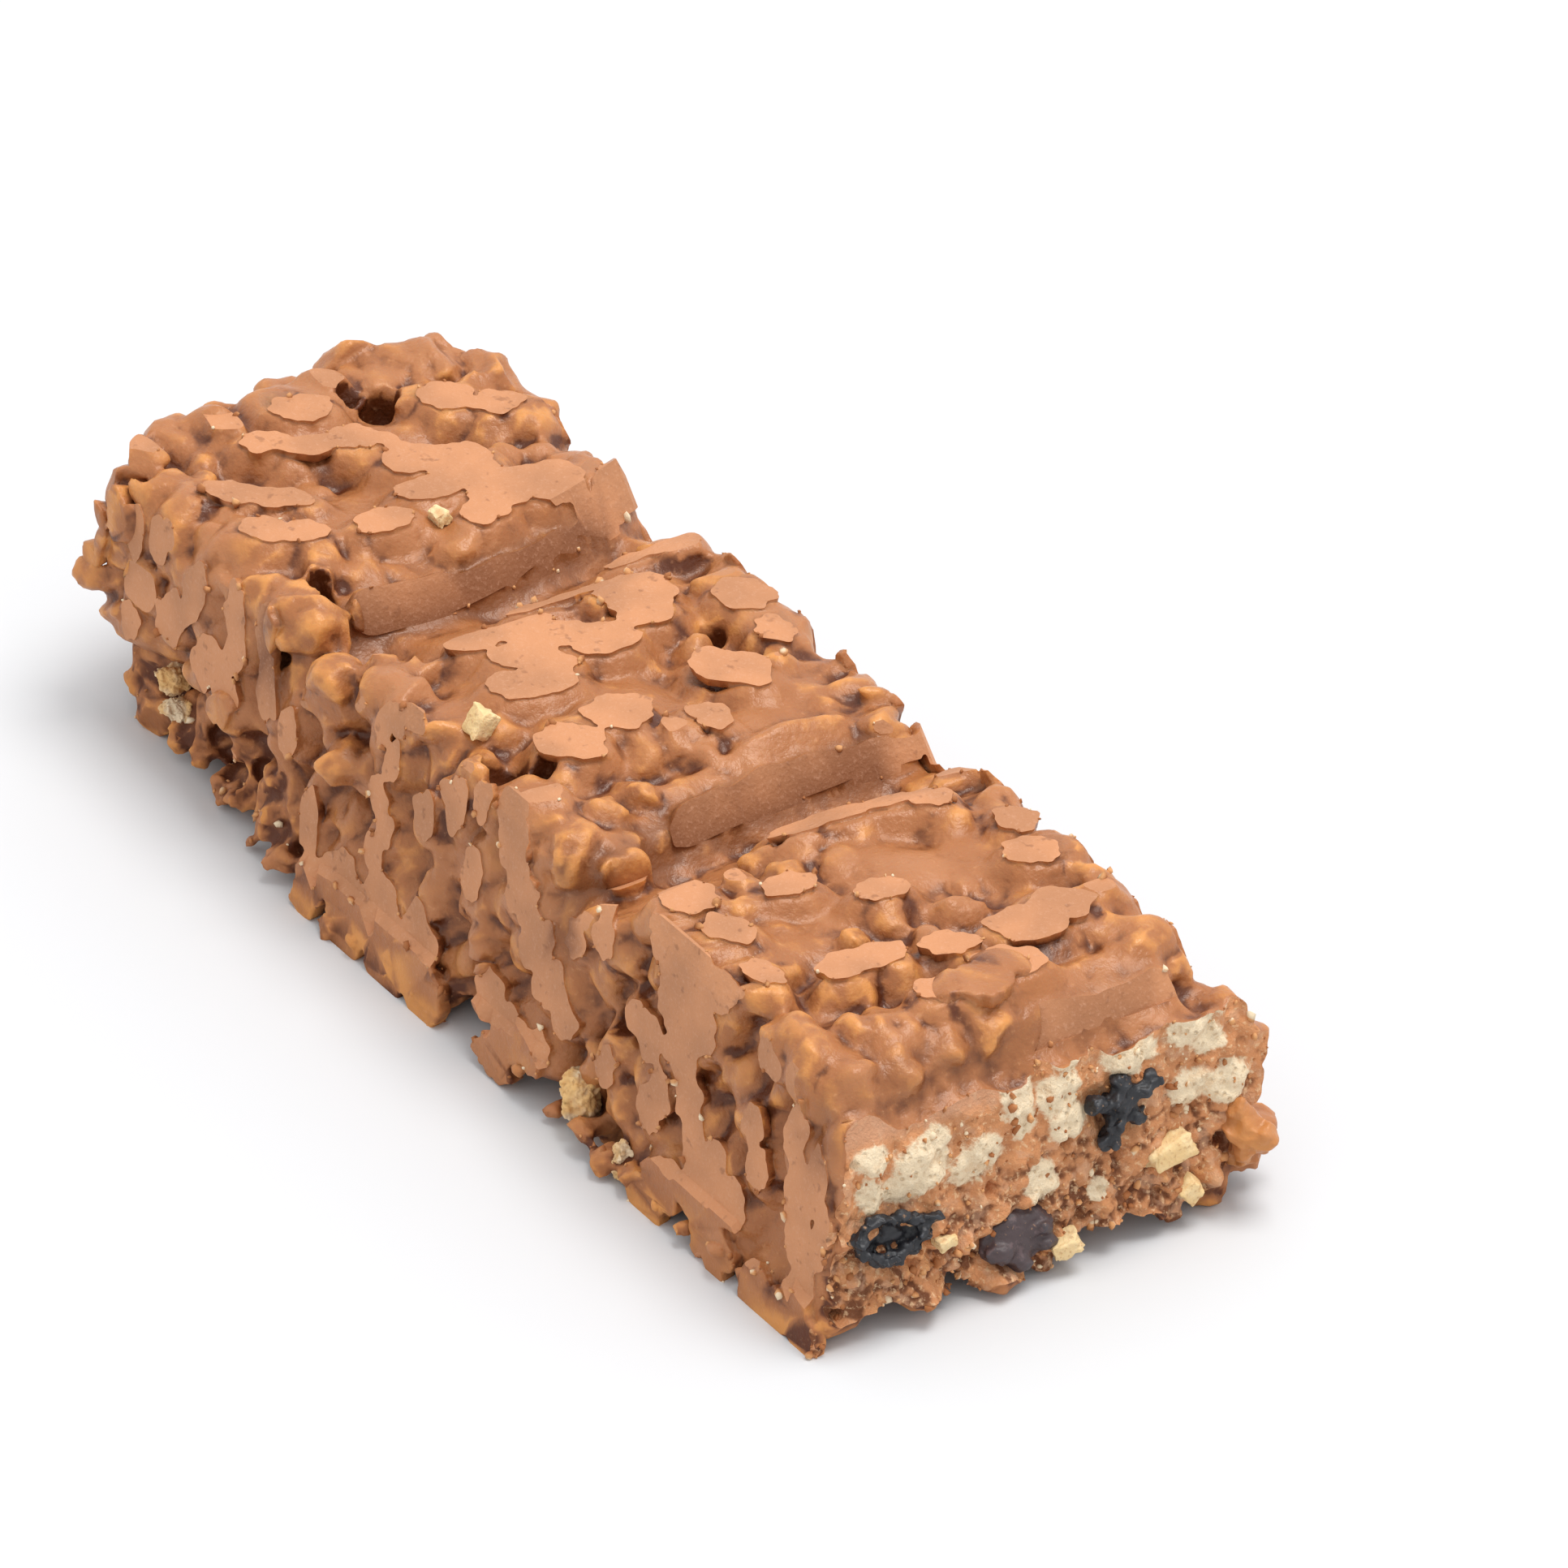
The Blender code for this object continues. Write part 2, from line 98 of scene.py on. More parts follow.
# Snapping grooves: where the bottom lies on the middle line, its skew, and its bend.
GROOVES = [
    (-21.2, -0.04, -0.013),
    (10.1, -0.05, 0.006),
    (41.7, -0.02, 0.0),
]
GROOVE_DEPTH = 3.9
# Painted shade on each groove's steep wall, and how strong it is: the recess, and the shadow of the piece
# that is left out.
WALL_SHADE = (1.0, 1.0, 0.55)  # of each groove's steep wall
WALL_RUN = 2.2
RISE_RUN = 8.2
GROOVE_REACH = 12.0
WALL_OUTWARD = Vector((GROOVE_DEPTH, 0.0, WALL_RUN)).normalized()

# Where the camera stood: degrees, millimetres in the design, and the photograph's pixels.
CAMERA_AZIMUTH = 57.20
CAMERA_ELEVATION = 33.07
CAMERA_DISTANCE = 1200.0
CAMERA_TARGET = Vector((0.0, 0.0, 9.4))
PICTURE_SIDE = 1932.0
PIXELS_PER_MM = 19.137
TARGET_PIXEL = (813.55, 1015.29)
SENSOR = 36.0

# Which of the mass's materials a face takes, where it isn't the film, which is 0.
PRESSED, BROKEN = 1, 2

# Flat facets: how far a puddle is let out past the mould before it is cut flat, its depth, how far it
# spreads, how much and how closely its outline ripples and frays, and how much smaller it is below.
PLATE_PROUD = 0.5
PLATE_THICKNESS = 0.7
PLATE_SPREAD = 0.4
PLATE_RIPPLE = 0.30
PLATE_RIPPLE_RATE = 2.6
PLATE_FRAY = 0.9
PLATE_FRAY_RATE = 1.6
PLATE_UNDERCUT = 0.86
PLATE_SIDES = 42
FOLD_ANGLE = 0.5  # radians: a facet that folds over more than this is shaded as two

# The film: how uneven it is, how far it is drawn up round a facet, and how far under the facet's rim it ends.
FILM_RELIEF = 0.20
DRAW_DEPTH = 3.2
DRAW_REACH = 1.3
RIM_DEPTH = 0.16

# Flat puddles on the top: x, y, length, width, turn in degrees. Several that overlap make one plate.
TOP_PLATES = [
    (-43.0, -0.4, 4.2, 3.2, 60),
    (-36.9, 1.5, 2.2, 1.7, 60),
    (-28.2, -3.3, 4.2, 2.5, 90),
    (-40.6, -4.6, 3.2, 2.2, 70),
    (-38.6, -2.2, 4.4, 2.3, 75),
    (-38.2, 0.4, 3.0, 2.4, 90),
    (-33.6, 2.4, 4.6, 3.6, 70),
    (-31.2, 4.6, 5.4, 5.2, 70),
    (-30.0, 1.4, 4.6, 2.8, 80),
    (-27.6, 5.8, 5.6, 4.6, 70),
    (-25.6, 3.0, 3.0, 3.6, 20),
    (-26.4, 8.6, 4.4, 4.8, 40),
    (-24.9, 12.2, 3.0, 3.4, 90),
    (-36.6, -9.8, 3.8, 2.4, 40),
    (-34.2, -7.6, 4.6, 2.2, 50),
    (-31.4, -10.2, 4.0, 2.6, 30),
    (-29.8, -8.4, 3.4, 2.2, 60),
    (-39.0, 8.4, 4.0, 3.2, 30),
    (-36.6, 10.8, 3.4, 2.6, 60),
    (-15.8, 0.0, 3.0, 1.7, 80),
    (-15.3, 2.2, 3.2, 1.5, 85),
    (-14.9, 4.4, 2.6, 1.5, 80),
    (-14.4, 6.0, 2.0, 1.2, 80),
    (-12.2, 5.9, 5.2, 4.4, 70),
    (-9.9, 5.2, 4.4, 3.6, 60),
    (-8.4, 1.1, 4.6, 3.6, 80),
    (-12.8, -5.6, 4.4, 2.8, 85),
    (-12.2, -2.8, 4.8, 3.0, 80),
    (-10.2, -1.0, 3.8, 3.0, 80),
    (-9.6, -4.2, 4.6, 3.4, 80),
    (-7.6, -3.4, 3.4, 2.4, 60),
    (-6.0, -5.4, 5.6, 2.8, 80),
    (-7.2, -6.8, 3.4, 2.2, 90),
    (-0.5, -2.8, 4.8, 3.9, 40),
    (0.8, -7.2, 4.7, 4.2, 30),
    (-1.1, 6.1, 5.9, 3.7, 25),
    (3.0, 1.8, 3.3, 2.3, 10),
    (-17.6, 8.8, 3.2, 2.0, 80),
    (-17.0, 11.4, 3.0, 2.2, 70),
    (-8.0, 11.6, 4.0, 3.4, 30),
    (-3.4, 11.0, 3.0, 2.4, 0),
    (15.4, 0.6, 4.0, 3.0, 80),
    (15.6, 3.4, 4.6, 3.6, 70),
    (16.6, 6.4, 4.2, 3.0, 60),
    (18.2, 8.4, 3.2, 2.6, 30),
    (22.4, -4.7, 3.7, 2.4, 75),
    (26.0, -0.1, 3.5, 2.3, 75),
    (20.0, -10.8, 4.0, 3.4, 40),
    (24.6, -10.6, 3.8, 2.6, 20),
    (31.9, -6.6, 3.8, 2.6, 90),
    (32.0, -4.4, 3.8, 2.4, 80),
    (33.4, 0.1, 3.5, 2.5, 75),
    (34.2, 5.8, 5.4, 4.2, 80),
    (33.4, 8.4, 4.4, 3.8, 60),
    (37.2, 1.8, 4.6, 3.4, 70),
    (38.6, -0.8, 3.6, 3.6, 20),
    (37.4, -3.4, 3.0, 2.6, 60),
    (27.4, 10.4, 3.6, 3.0, 60),
    (23.8, 11.6, 3.0, 2.4, 10),
    (29.8, -11.6, 3.4, 2.0, 10),
]

# Flat puddles on the long side that shows: x, z, length along x, height, turn in degrees.
SIDE_PLATES = [
    (-42.8, 15.4, 1.9, 4.0, -15),
    (-40.9, 15.0, 1.6, 4.2, -5),
    (-45.0, 12.6, 2.2, 5.0, 0),
    (-35.8, 11.3, 3.2, 4.0, 35),
    (-38.0, 15.8, 2.4, 3.4, 0),
    (-33.4, 14.2, 2.2, 5.0, 10),
    (-31.2, 10.2, 3.0, 4.4, 20),
    (-28.6, 15.4, 2.2, 3.6, 0),
    (-28.0, 12.6, 1.8, 4.0, 10),
    (-28.8, 9.0, 3.0, 4.2, 0),
    (-24.6, 15.6, 2.2, 4.6, -5),
    (-24.0, 11.8, 2.0, 4.6, -10),
    (-21.2, 10.2, 1.9, 3.6, 0),
    (-17.6, 5.4, 1.8, 5.4, -5),
    (-16.2, 1.6, 3.4, 4.6, 20),
    (-13.2, 3.6, 3.8, 4.6, 30),
    (-11.6, 0.6, 4.4, 3.8, 0),
    (-8.6, 3.6, 4.8, 5.4, 0),
    (-6.6, 0.4, 4.6, 4.2, 0),
    (-4.2, 3.4, 4.4, 6.2, 10),
    (-2.2, 0.6, 3.8, 4.6, 10),
    (-10.2, 11.2, 1.9, 2.8, -25),
    (-9.2, 9.2, 1.8, 3.0, 20),
    (-10.0, 7.0, 1.9, 3.0, -20),
    (-10.4, 16.4, 1.7, 3.8, 20),
    (-9.2, 14.2, 1.4, 3.4, 15),
    (-7.8, 18.2, 2.2, 1.6, 0),
    (-5.0, 12.6, 2.2, 3.4, 0),
    (-1.6, 15.2, 2.0, 4.4, 10),
    (4.2, 18.0, 2.6, 3.2, 10),
    (5.2, 15.6, 3.4, 4.0, 10),
    (6.8, 13.0, 3.4, 4.4, 30),
    (8.8, 10.6, 3.4, 4.4, 35),
    (11.0, 8.6, 3.2, 4.4, 40),
    (13.0, 7.0, 2.2, 3.0, 45),
    (4.6, 4.6, 3.4, 3.2, 10),
    (7.4, 3.2, 4.0, 3.6, 10),
    (10.2, 3.4, 3.0, 2.8, 0),
    (6.2, 0.8, 4.2, 2.6, 0),
    (15.2, 17.0, 2.2, 2.8, 10),
    (15.9, 14.8, 2.0, 3.4, -5),
    (13.0, 13.2, 1.8, 2.8, 10),
    (17.8, 6.4, 2.0, 2.6, 20),
    (22.4, 18.0, 3.4, 3.4, 0),
    (25.4, 17.4, 5.0, 4.6, 0),
    (28.8, 17.6, 3.6, 2.6, 0),
    (24.8, 14.6, 5.4, 4.4, 0),
    (27.6, 14.2, 3.0, 3.6, 20),
    (25.6, 11.6, 3.8, 3.8, 0),
    (22.2, 10.8, 3.4, 3.0, 10),
    (20.4, 11.2, 2.2, 2.0, 0),
    (27.0, 9.0, 2.6, 3.6, 10),
    (24.0, 7.8, 2.0, 3.4, -20),
    (22.8, 5.8, 2.2, 3.2, -20),
    (28.2, 6.2, 2.4, 3.8, 0),
    (30.6, 6.0, 2.6, 3.4, 0),
    (29.4, 3.4, 4.6, 3.4, 10),
    (26.0, 2.2, 4.4, 3.2, -10),
    (24.2, 0.2, 4.0, 2.6, 0),
    (32.8, 4.6, 3.4, 3.2, 10),
    (32.0, 0.8, 4.6, 3.6, 10),
    (36.8, 0.6, 3.4, 3.2, 10),
    (35.0, 8.2, 2.2, 3.2, 0),
    (34.0, 10.8, 2.0, 2.8, 10),
    (38.6, 12.6, 2.0, 4.8, 10),
    (39.4, 9.4, 2.2, 4.8, 5),
    (40.2, 6.4, 2.4, 4.8, 0),
    (41.2, 3.4, 2.4, 5.2, 0),
    (41.4, 10.6, 1.8, 5.0, 0),
    (42.6, 7.2, 1.6, 5.0, 0),
    (39.2, 0.4, 3.4, 3.2, 0),
    (42.4, 0.2, 2.4, 3.2, 0),
    (-40.4, 8.6, 2.0, 3.0, 0),
    (1.0, 11.4, 2.2, 3.6, 0),
    (1.2, 16.8, 1.6, 3.0, 0),
]

# Strips pressed against the grooves' steep walls: groove, then y, lower and upper share of the height.
WALL_BANDS = [
    (0, [(-9.4, 0.15, 0.45), (-8.2, 0.0, 0.70), (-2.4, 0.03, 0.60), (1.4, 0.10, 0.54), (7.8, 0.30, 0.52)]),
    (0, [(8.9, 0.55, 0.92), (9.6, 0.38, 1.0), (10.4, 0.50, 1.0)]),
    (0, [(10.9, 0.40, 1.0), (11.5, 0.20, 1.0), (14.6, 0.14, 1.0)]),
    (1, [(-5.6, 0.10, 0.40), (-4.4, 0.0, 0.62), (2.0, 0.05, 0.66), (9.0, 0.10, 0.60), (13.4, 0.10, 0.50)]),
]

# Stretches of a steep wall with no crisps behind them: groove, lowest and highest y.
SMOOTH_WALLS = [
    (0, 0.5, 13.5),
    (1, -4.5, 13.5),
    (2, -1.0, 13.5),
]

# Crisps that stand out past the mould: x, y, z, half length, half thickness.
NUBS = [
    (39.4, -11.6, 15.6, 2.3, 2.1),
    (39.6, -8.2, 15.3, 2.4, 2.1),
    (39.4, -4.8, 15.4, 2.3, 2.0),
    (38.6, -1.2, 16.0, 2.9, 2.3),
    (37.4, 1.2, 16.4, 2.2, 1.8),
    (9.2, -12.6, 16.2, 2.1, 2.0),
    (9.6, -9.6, 15.6, 2.2, 1.9),
    (-22.6, -12.0, 16.4, 2.4, 2.0),
    (-43.3, -13.1, 15.2, 1.9, 1.6),
    (-43.2, -13.4, 12.2, 1.7, 1.4),
    (-45.3, -15.0, 9.6, 1.5, 1.35),
    (-43.4, -13.8, 9.8, 1.3, 1.1),
    (-43.4, -13.6, 7.2, 1.9, 1.6),
    (-42.4, -12.3, 3.4, 1.8, 1.5),
    (-41.0, -12.6, 1.6, 1.7, 1.4),
    (-43.9, -10.6, 2.4, 1.8, 1.5),
    (-47.0, -4.6, 16.4, 2.3, 1.5),
    (-48.2, 1.6, 15.6, 2.4, 1.6),
    (-48.4, 6.2, 16.6, 2.6, 1.5),
    (-45.8, 9.8, 16.8, 2.9, 1.5),
    (-44.6, 12.6, 14.6, 1.8, 1.3),
    (-47.4, 4.0, 8.4, 2.2, 1.6),
    (-45.6, -8.8, 16.6, 2.2, 1.5),
    (42.2, 15.9, 10.6, 2.2, 1.9),
    (42.9, 15.8, 7.6, 1.9, 1.7),
    (43.9, -2.8, 0.8, 1.9, 1.6),
    (43.8, -5.8, 1.1, 1.6, 1.4),
    (43.6, -8.8, 1.1, 1.7, 1.5),
    (43.6, 0.6, 0.8, 1.6, 1.4),
    (42.0, 15.2, 13.0, 1.6, 1.4),
    (-41.0, 13.4, 17.2, 2.2, 1.5),
    (-37.4, 14.6, 15.8, 1.7, 1.3),
    (41.6, 17.0, 3.4, 2.3, 1.7),
    (40.0, 14.2, 12.6, 1.7, 1.5),
    (38.0, 15.0, 8.0, 1.9, 1.6),
    (-28.3, -14.9, 7.3, 1.4, 1.1),
    (2.2, -14.8, 6.8, 1.4, 1.3),
    (-17.8, -13.4, 15.6, 2.0, 1.7),
    (-15.1, -14.3, 10.8, 2.1, 1.5),
]

# Large coated crisps just inside the mould: x, y, z, half length, half thickness.
BIG_CRISPS = [
    (-35.6, -13.2, 14.3, 1.5, 1.4),
    (-42.4, -14.0, 7.7, 1.7, 1.5),
    (-42.5, -5.8, 16.6, 2.0, 1.6),
    (-39.5, -11.7, 16.6, 2.0, 1.7),
    (-30.7, -10.1, 16.9, 2.0, 1.6),
    (-24.6, -12.2, 16.4, 2.0, 1.8),
    (-42.6, 13.0, 15.6, 2.9, 1.8),
    (-38.0, 7.4, 17.0, 1.9, 1.5),
    (-47.1, 6.8, 17.2, 2.4, 1.8),
    (-44.1, 10.8, 17.4, 2.8, 1.6),
    (-46.6, -8.0, 16.6, 2.2, 1.8),
    (-37.6, -12.8, 16.2, 1.9, 1.7),
    (-37.8, -11.8, 2.2, 2.1, 1.9),
    (-23.4, -14.6, 1.6, 1.8, 1.6),
    (15.4, 12.8, 16.0, 2.0, 1.7),
    (19.6, 12.9, 16.6, 2.2, 1.7),
    (42.9, 13.6, 12.2, 2.2, 1.8),
    (43.2, 14.4, 9.0, 2.3, 1.9),
    (43.2, 13.8, 6.4, 2.2, 1.8),
    (42.9, -12.6, 12.0, 1.8, 1.5),
    (-35.0, -12.2, 3.0, 2.0, 1.7),
    (6.2, -8.9, 15.0, 2.0, 1.8),
    (11.6, -10.1, 15.6, 2.0, 1.8),
    (8.4, -12.0, 17.0, 1.8, 1.6),
    (8.2, -10.2, 15.6, 1.8, 1.7),
    (1.9, -13.8, 8.9, 1.3, 1.2),
    (-2.3, -13.0, 15.1, 2.0, 1.6),
    (-18.4, -13.0, 13.3, 2.2, 1.7),
    (-13.5, -13.0, 15.9, 1.6, 1.4),
    (37.6, -7.5, 16.4, 2.6, 2.1),
    (37.7, -4.0, 16.6, 2.2, 1.9),
    (36.8, -12.6, 17.0, 2.0, 1.7),
    (34.8, -13.0, 15.6, 2.2, 1.8),
    (38.6, -10.4, 15.4, 2.4, 2.0),
    (-16.2, 12.2, 17.0, 1.8, 1.6),
    (-12.5, 12.8, 16.6, 2.2, 1.7),
    (-2.1, -6.3, 16.8, 2.0, 1.5),
    (1.1, 1.6, 15.4, 3.0, 2.2),
    (37.4, 10.9, 16.4, 2.3, 1.9),
    (38.6, 13.4, 14.8, 1.6, 1.5),
]

# Holes between crisps: x, y, z, radius, depth.
PITS = [
    (-42.0, 5.0, 17.8, 1.35, 3.6),
    (-43.4, 3.6, 18.4, 0.9, 2.2),
    (-22.5, 10.4, 15.8, 0.7, 1.6),
    (-25.2, -10.0, 17.2, 1.0, 2.6),
    (-24.2, -12.6, 14.4, 1.2, 1.9),
    (-0.6, -11.0, 17.6, 1.2, 2.8),
    (1.2, -9.6, 17.4, 1.0, 2.2),
    (36.6, -15.2, 7.6, 0.8, 2.2),
    (36.9, -15.4, 5.8, 0.6, 1.8),
    (17.8, -14.6, 9.6, 1.3, 2.4),
    (4.8, -15.4, 7.0, 1.0, 2.0),
    (0.2, -15.2, 7.4, 0.9, 1.6),
    (-6.8, 8.4, 17.6, 1.0, 2.6),
    (26.2, -15.4, 6.2, 0.8, 1.4),
    (-24.6, -15.6, 7.2, 1.2, 1.8),
]

# Bare crisps in the broken face: y, z, half width, half height, how far they stand out.
CUT_CRISPS = [
    (-12.1, 12.1, 1.4, 1.1, 0.30),
    (-8.5, 10.5, 2.2, 2.1, 0.40),
    (-7.4, 12.0, 1.4, 1.0, 0.25),
    (-12.2, 9.6, 1.2, 1.1, 0.30),
    (-10.1, 9.2, 1.3, 1.1, 0.20),
    (-4.1, 9.6, 1.8, 1.6, 0.40),
    (-5.2, 8.6, 1.2, 0.9, 0.25),
    (-1.2, 13.3, 1.3, 2.0, 0.35),
    (-0.8, 11.0, 1.0, 1.2, 0.20),
    (2.8, 14.4, 1.1, 1.2, 0.30),
    (2.0, 12.3, 1.7, 1.5, 0.30),
    (2.4, 9.9, 1.5, 1.3, 0.30),
    (0.4, 6.4, 1.3, 1.4, 0.25),
    (7.4, 13.4, 2.0, 1.7, 0.50),
    (11.9, 13.6, 1.8, 1.5, 0.40),
    (13.3, 12.2, 1.3, 1.1, 0.30),
    (14.0, 15.0, 1.9, 1.5, 0.60),
    (11.7, 9.1, 1.5, 1.4, 0.40),
    (14.6, 8.7, 1.8, 1.5, 0.45),
    (4.7, 4.2, 0.7, 0.7, 0.15),
    (11.4, 2.0, 0.7, 0.8, 0.30),
]

# Lumps of the broken face that are brown like the rest of it: y, z, radius, how far they stand out.
CUT_LUMPS = [
    (-9.0, 0.9, 1.6, 1.0),
    (-12.6, 0.7, 1.6, 0.7),
    (-3.3, 0.1, 1.9, 1.5),
    (-12.3, -0.6, 0.9, 0.5),
    (-15.4, 0.8, 0.9, 0.6),
    (2.0, 1.2, 1.2, 0.6),
    (5.4, 0.9, 1.3, 0.7),
    (8.6, 0.8, 1.4, 0.6),
    (13.8, 1.8, 1.6, 0.7),
    (-6.6, 5.2, 1.0, 0.3),
    (4.2, 7.0, 1.3, 0.4),
    (7.4, 7.0, 1.2, 0.4),
    (14.8, 11.2, 1.1, 0.6),
]

# Holes in the broken face: y, z, radius, depth.
CUT_HOLES = [
    (-3.2, 6.8, 0.55, 1.3),
    (-5.9, 1.2, 0.7, 1.4),
    (-5.4, 2.6, 0.4, 0.8),
    (4.9, 4.1, 0.3, 0.6),
    (6.4, 5.9, 0.45, 0.8),
    (12.2, 7.2, 0.45, 0.7),
    (14.2, 4.8, 0.7, 0.8),
    (-13.5, 12.3, 0.3, 0.5),
    (2.3, 8.5, 0.5, 0.8),
    (-14.7, 1.4, 0.5, 1.0),
    (9.2, 2.4, 0.5, 0.8),
    (-0.4, 8.0, 0.4, 0.6),
    (3.4, 2.4, 0.5, 0.8),
    (-9.2, 3.6, 0.45, 0.7),
]

# Raisins in the broken face: node, body (y, z, half width, half height, half depth, turn, how far out),
# folds of skin (y, z, half size, how far out), how deep it is wrinkled, and how much of it is torn.
RAISINS = [
    (
        "raisin_left",
        (-11.0, 6.6, 2.8, 1.3, 1.9, 8, 0.0),
        [
            (-13.7, 7.2, 0.75, 0.5),
            (-13.3, 6.1, 0.70, 0.6),
            (-12.3, 5.4, 0.72, 0.7),
            (-11.1, 5.2, 0.75, 0.7),
            (-9.9, 5.5, 0.72, 0.6),
            (-8.9, 6.1, 0.80, 0.6),
            (-8.1, 6.9, 0.65, 0.4),
            (-9.3, 7.3, 0.60, 0.5),
            (-10.6, 7.8, 0.65, 0.5),
            (-11.9, 8.0, 0.60, 0.5),
            (-12.9, 8.0, 0.60, 0.5),
        ],
        0.28,
        0.36,
    ),
    (
        "raisin_middle",
        (-1.4, 2.7, 2.75, 2.15, 1.3, 12, 0.35),
        [
            (-3.0, 2.4, 1.10, 0.2),
            (0.2, 3.4, 0.95, 0.15),
            (-1.6, 1.4, 1.10, 0.2),
            (0.4, 2.2, 0.95, 0.15),
        ],
        0.14,
        0.40,
    ),
    (
        "raisin_right",
        (6.3, 10.0, 1.4, 1.2, 1.8, 30, 0.1),
        [
            (6.4, 10.2, 1.25, 0.5),
            (4.5, 10.7, 0.95, 0.6),
            (5.4, 10.5, 0.95, 0.6),
            (6.5, 11.7, 0.85, 0.5),
            (7.7, 10.7, 0.85, 0.6),
            (8.6, 11.1, 0.80, 0.5),
            (5.7, 8.9, 0.95, 0.6),
            (5.2, 7.9, 0.90, 0.6),
            (7.3, 9.0, 0.85, 0.5),
        ],
        0.28,
        0.22,
    ),
]

# Crisps with no chocolate on them: x, y, z, half size.
BARE_CRISPS = [
    (-38.9, -13.0, 4.1, 1.25),
    (-37.6, -13.3, 2.4, 1.1),
    (14.5, -15.4, 2.2, 1.8),
    (20.4, -15.9, 0.7, 1.3),
    (-33.0, 15.2, 3.0, 1.4),
    (6.0, 15.6, 1.6, 1.5),
    (-12.0, 15.8, 8.0, 1.3),
]

# Nut bits: x, y, z, half length, half height, turn in degrees.
NUT_BITS = [
    (43.7, 10.0, 5.2, 1.7, 0.95, 16),
    (44.1, 11.3, 2.2, 0.8, 0.9, 40),
    (43.9, -7.1, 4.8, 0.7, 0.5, 10),
    (44.3, 1.8, 1.5, 1.0, 0.7, 20),
    (-4.5, -10.8, 18.5, 1.0, 0.7, 60),
    (-27.0, 0.2, 18.6, 0.5, 0.5, 20),
    (20.0, 16.0, 6.0, 1.2, 0.9, 30),
]

# Coated crisps that stand out past the broken corner: x, y, z, half size.
COATED_LUMPS = [
    (44.3, 15.3, 5.3, 1.5),
    (45.3, 15.8, 5.2, 1.15),
    (45.9, 16.2, 4.9, 0.70),
    (44.5, 16.3, 4.2, 1.10),
    (43.9, 15.0, 6.6, 1.00),
    (44.7, 15.0, 3.9, 0.90),
    (43.4, 15.6, 3.0, 1.30),
]

# How the film lies: depth of the highest crisps, how much deeper they are under a pool and how far the
# pool rises, and how low the top may be with crisps still under it.
CREST_DEPTH = 0.12
POOL_DEPTH = 1.0
POOL_RISE = 1.0
LOWEST_TOP_CRISP = 2.8
WALL_FILM = 0.45  # how far inside the mould the core lies low on a steep wall
CREST_RANGE = 0.35  # a crest stands this far out from the smoothed surface
CREST_ROUNDS = 45  # of smoothing

# Pools of chocolate: how closely they follow each other, and where their noise starts.
POOL_SPREAD = 0.14
POOL_OFFSET = Vector((3.0, 7.0, 1.0))

# Coated crisps: the range of each half width as a share of the size, how uneven, and how fine that is.
CRISP_SQUASH = [(1.0, 1.25), (0.85, 1.0), (0.75, 0.95)]
CRISP_ROUGH = 0.42
CRISP_GRAIN = 1.7

# Where the surface is crumbly, from not at all to fully, and the depth and size of its crumbs.
CRUMBLY_FOOT = (3.2, 0.4)
CRUMBLY_END_ALONG = (-15.0, -24.0)
CRUMBLY_END_ACROSS = (0.0, -6.0)
CRUMBLY_END_UP = (7.6, 4.6)
FOOT_CRUMBS = [(0.34, 2.3), (0.16, 1.0)]

# Grids and cells of the meshes that the mass and the smaller pieces are made from.
CORE_SPACING = 1.3
MOULD_SPACING = 1.4
PLATE_CELL = 0.17
RAISIN_CELL = 0.14
LUMP_CELL = 0.16
FEWEST_FACES = 1000  # of a mass that came out whole

# The block that breaks the end off: its grid, its half width and half height, and its far side.
CUTTER_COLUMNS = 180
CUTTER_ROWS = 112
CUTTER_HALF_WIDTH = 20.0
CUTTER_HALF_HEIGHT = 12.0
CUTTER_END = PAST_SNAP + 8.0

# Smaller pieces: how thick a fold of raisin skin and a bit of nut are, from the middle, and the grains'
# finest half size, its range, and their shares at the edges, low down and on the broken face.
FOLD_DEPTH = 0.9
NUT_DEPTH = 0.8
FINEST_GRAIN = 0.10
GRAIN_SPREAD = 0.24
CRUMB_SHARES = (0.5, 0.22, 0.28)
CUT_RAISIN = "raisin_middle"  # the one that was cut open

# Where each run of random draws starts.
CRISP_SEED = 12
FOOT_SEED = 41
HIDDEN_PLATE_SEED = 77
BARE_CRISP_SEED = 5
NUT_SEED = 8
CRUMB_SEED = 23

# Fixed tints, in linear light, that go with the colours which can be set: over them or under them.
FILM_FLECK = (0.72, 0.38, 0.19)
FILM_GLINT = (1.0, 0.85, 0.75)
PRESSED_GRAIN = (0.66, 0.36, 0.23)
# Painted light on the crowns of the broken face's crumbs.
BROKEN_CREST = (0.72, 0.35, 0.14)
BROKEN_PATCH = (0.62, 0.36, 0.22)
BROKEN_FLECK = (0.80, 0.54, 0.31)
BROKEN_RIM = (0.51, 0.255, 0.145)
CRISP_PORE = (0.52, 0.32, 0.15)
CRISP_STAIN = (0.62, 0.41, 0.23)
CRISP_GLEAM = (0.84, 0.71, 0.52)
CRISP_SHADE = (0.50, 0.29, 0.14)
CRISP_HOLLOW = (0.58, 0.36, 0.16)
CRISP_TOAST = (0.76, 0.44, 0.15)
CRISP_DUST = (0.48, 0.20, 0.08)
NUT_PALE = (0.84, 0.63, 0.34)
NUT_TOAST = (0.58, 0.27, 0.10)
NUT_SMEAR = (0.48, 0.23, 0.09)
# Slate grey laid on the crowns of a raisin's folds.
RAISIN_FOLD_SLATE = (0.062, 0.068, 0.080)
RAISIN_TEAR = (0.36, 0.19, 0.09)
RAISIN_DUST = (0.40, 0.22, 0.11)
CRUMB_TAN = (0.62, 0.30, 0.12)
SKY_COLOUR = (0.96, 0.98, 1.0, 1.0)

# How far light goes under the surface, in millimetres of red, green and blue.
FILM_GLOW = (0.9, 0.35, 0.15)
NUT_GLOW = (0.8, 0.5, 0.25)

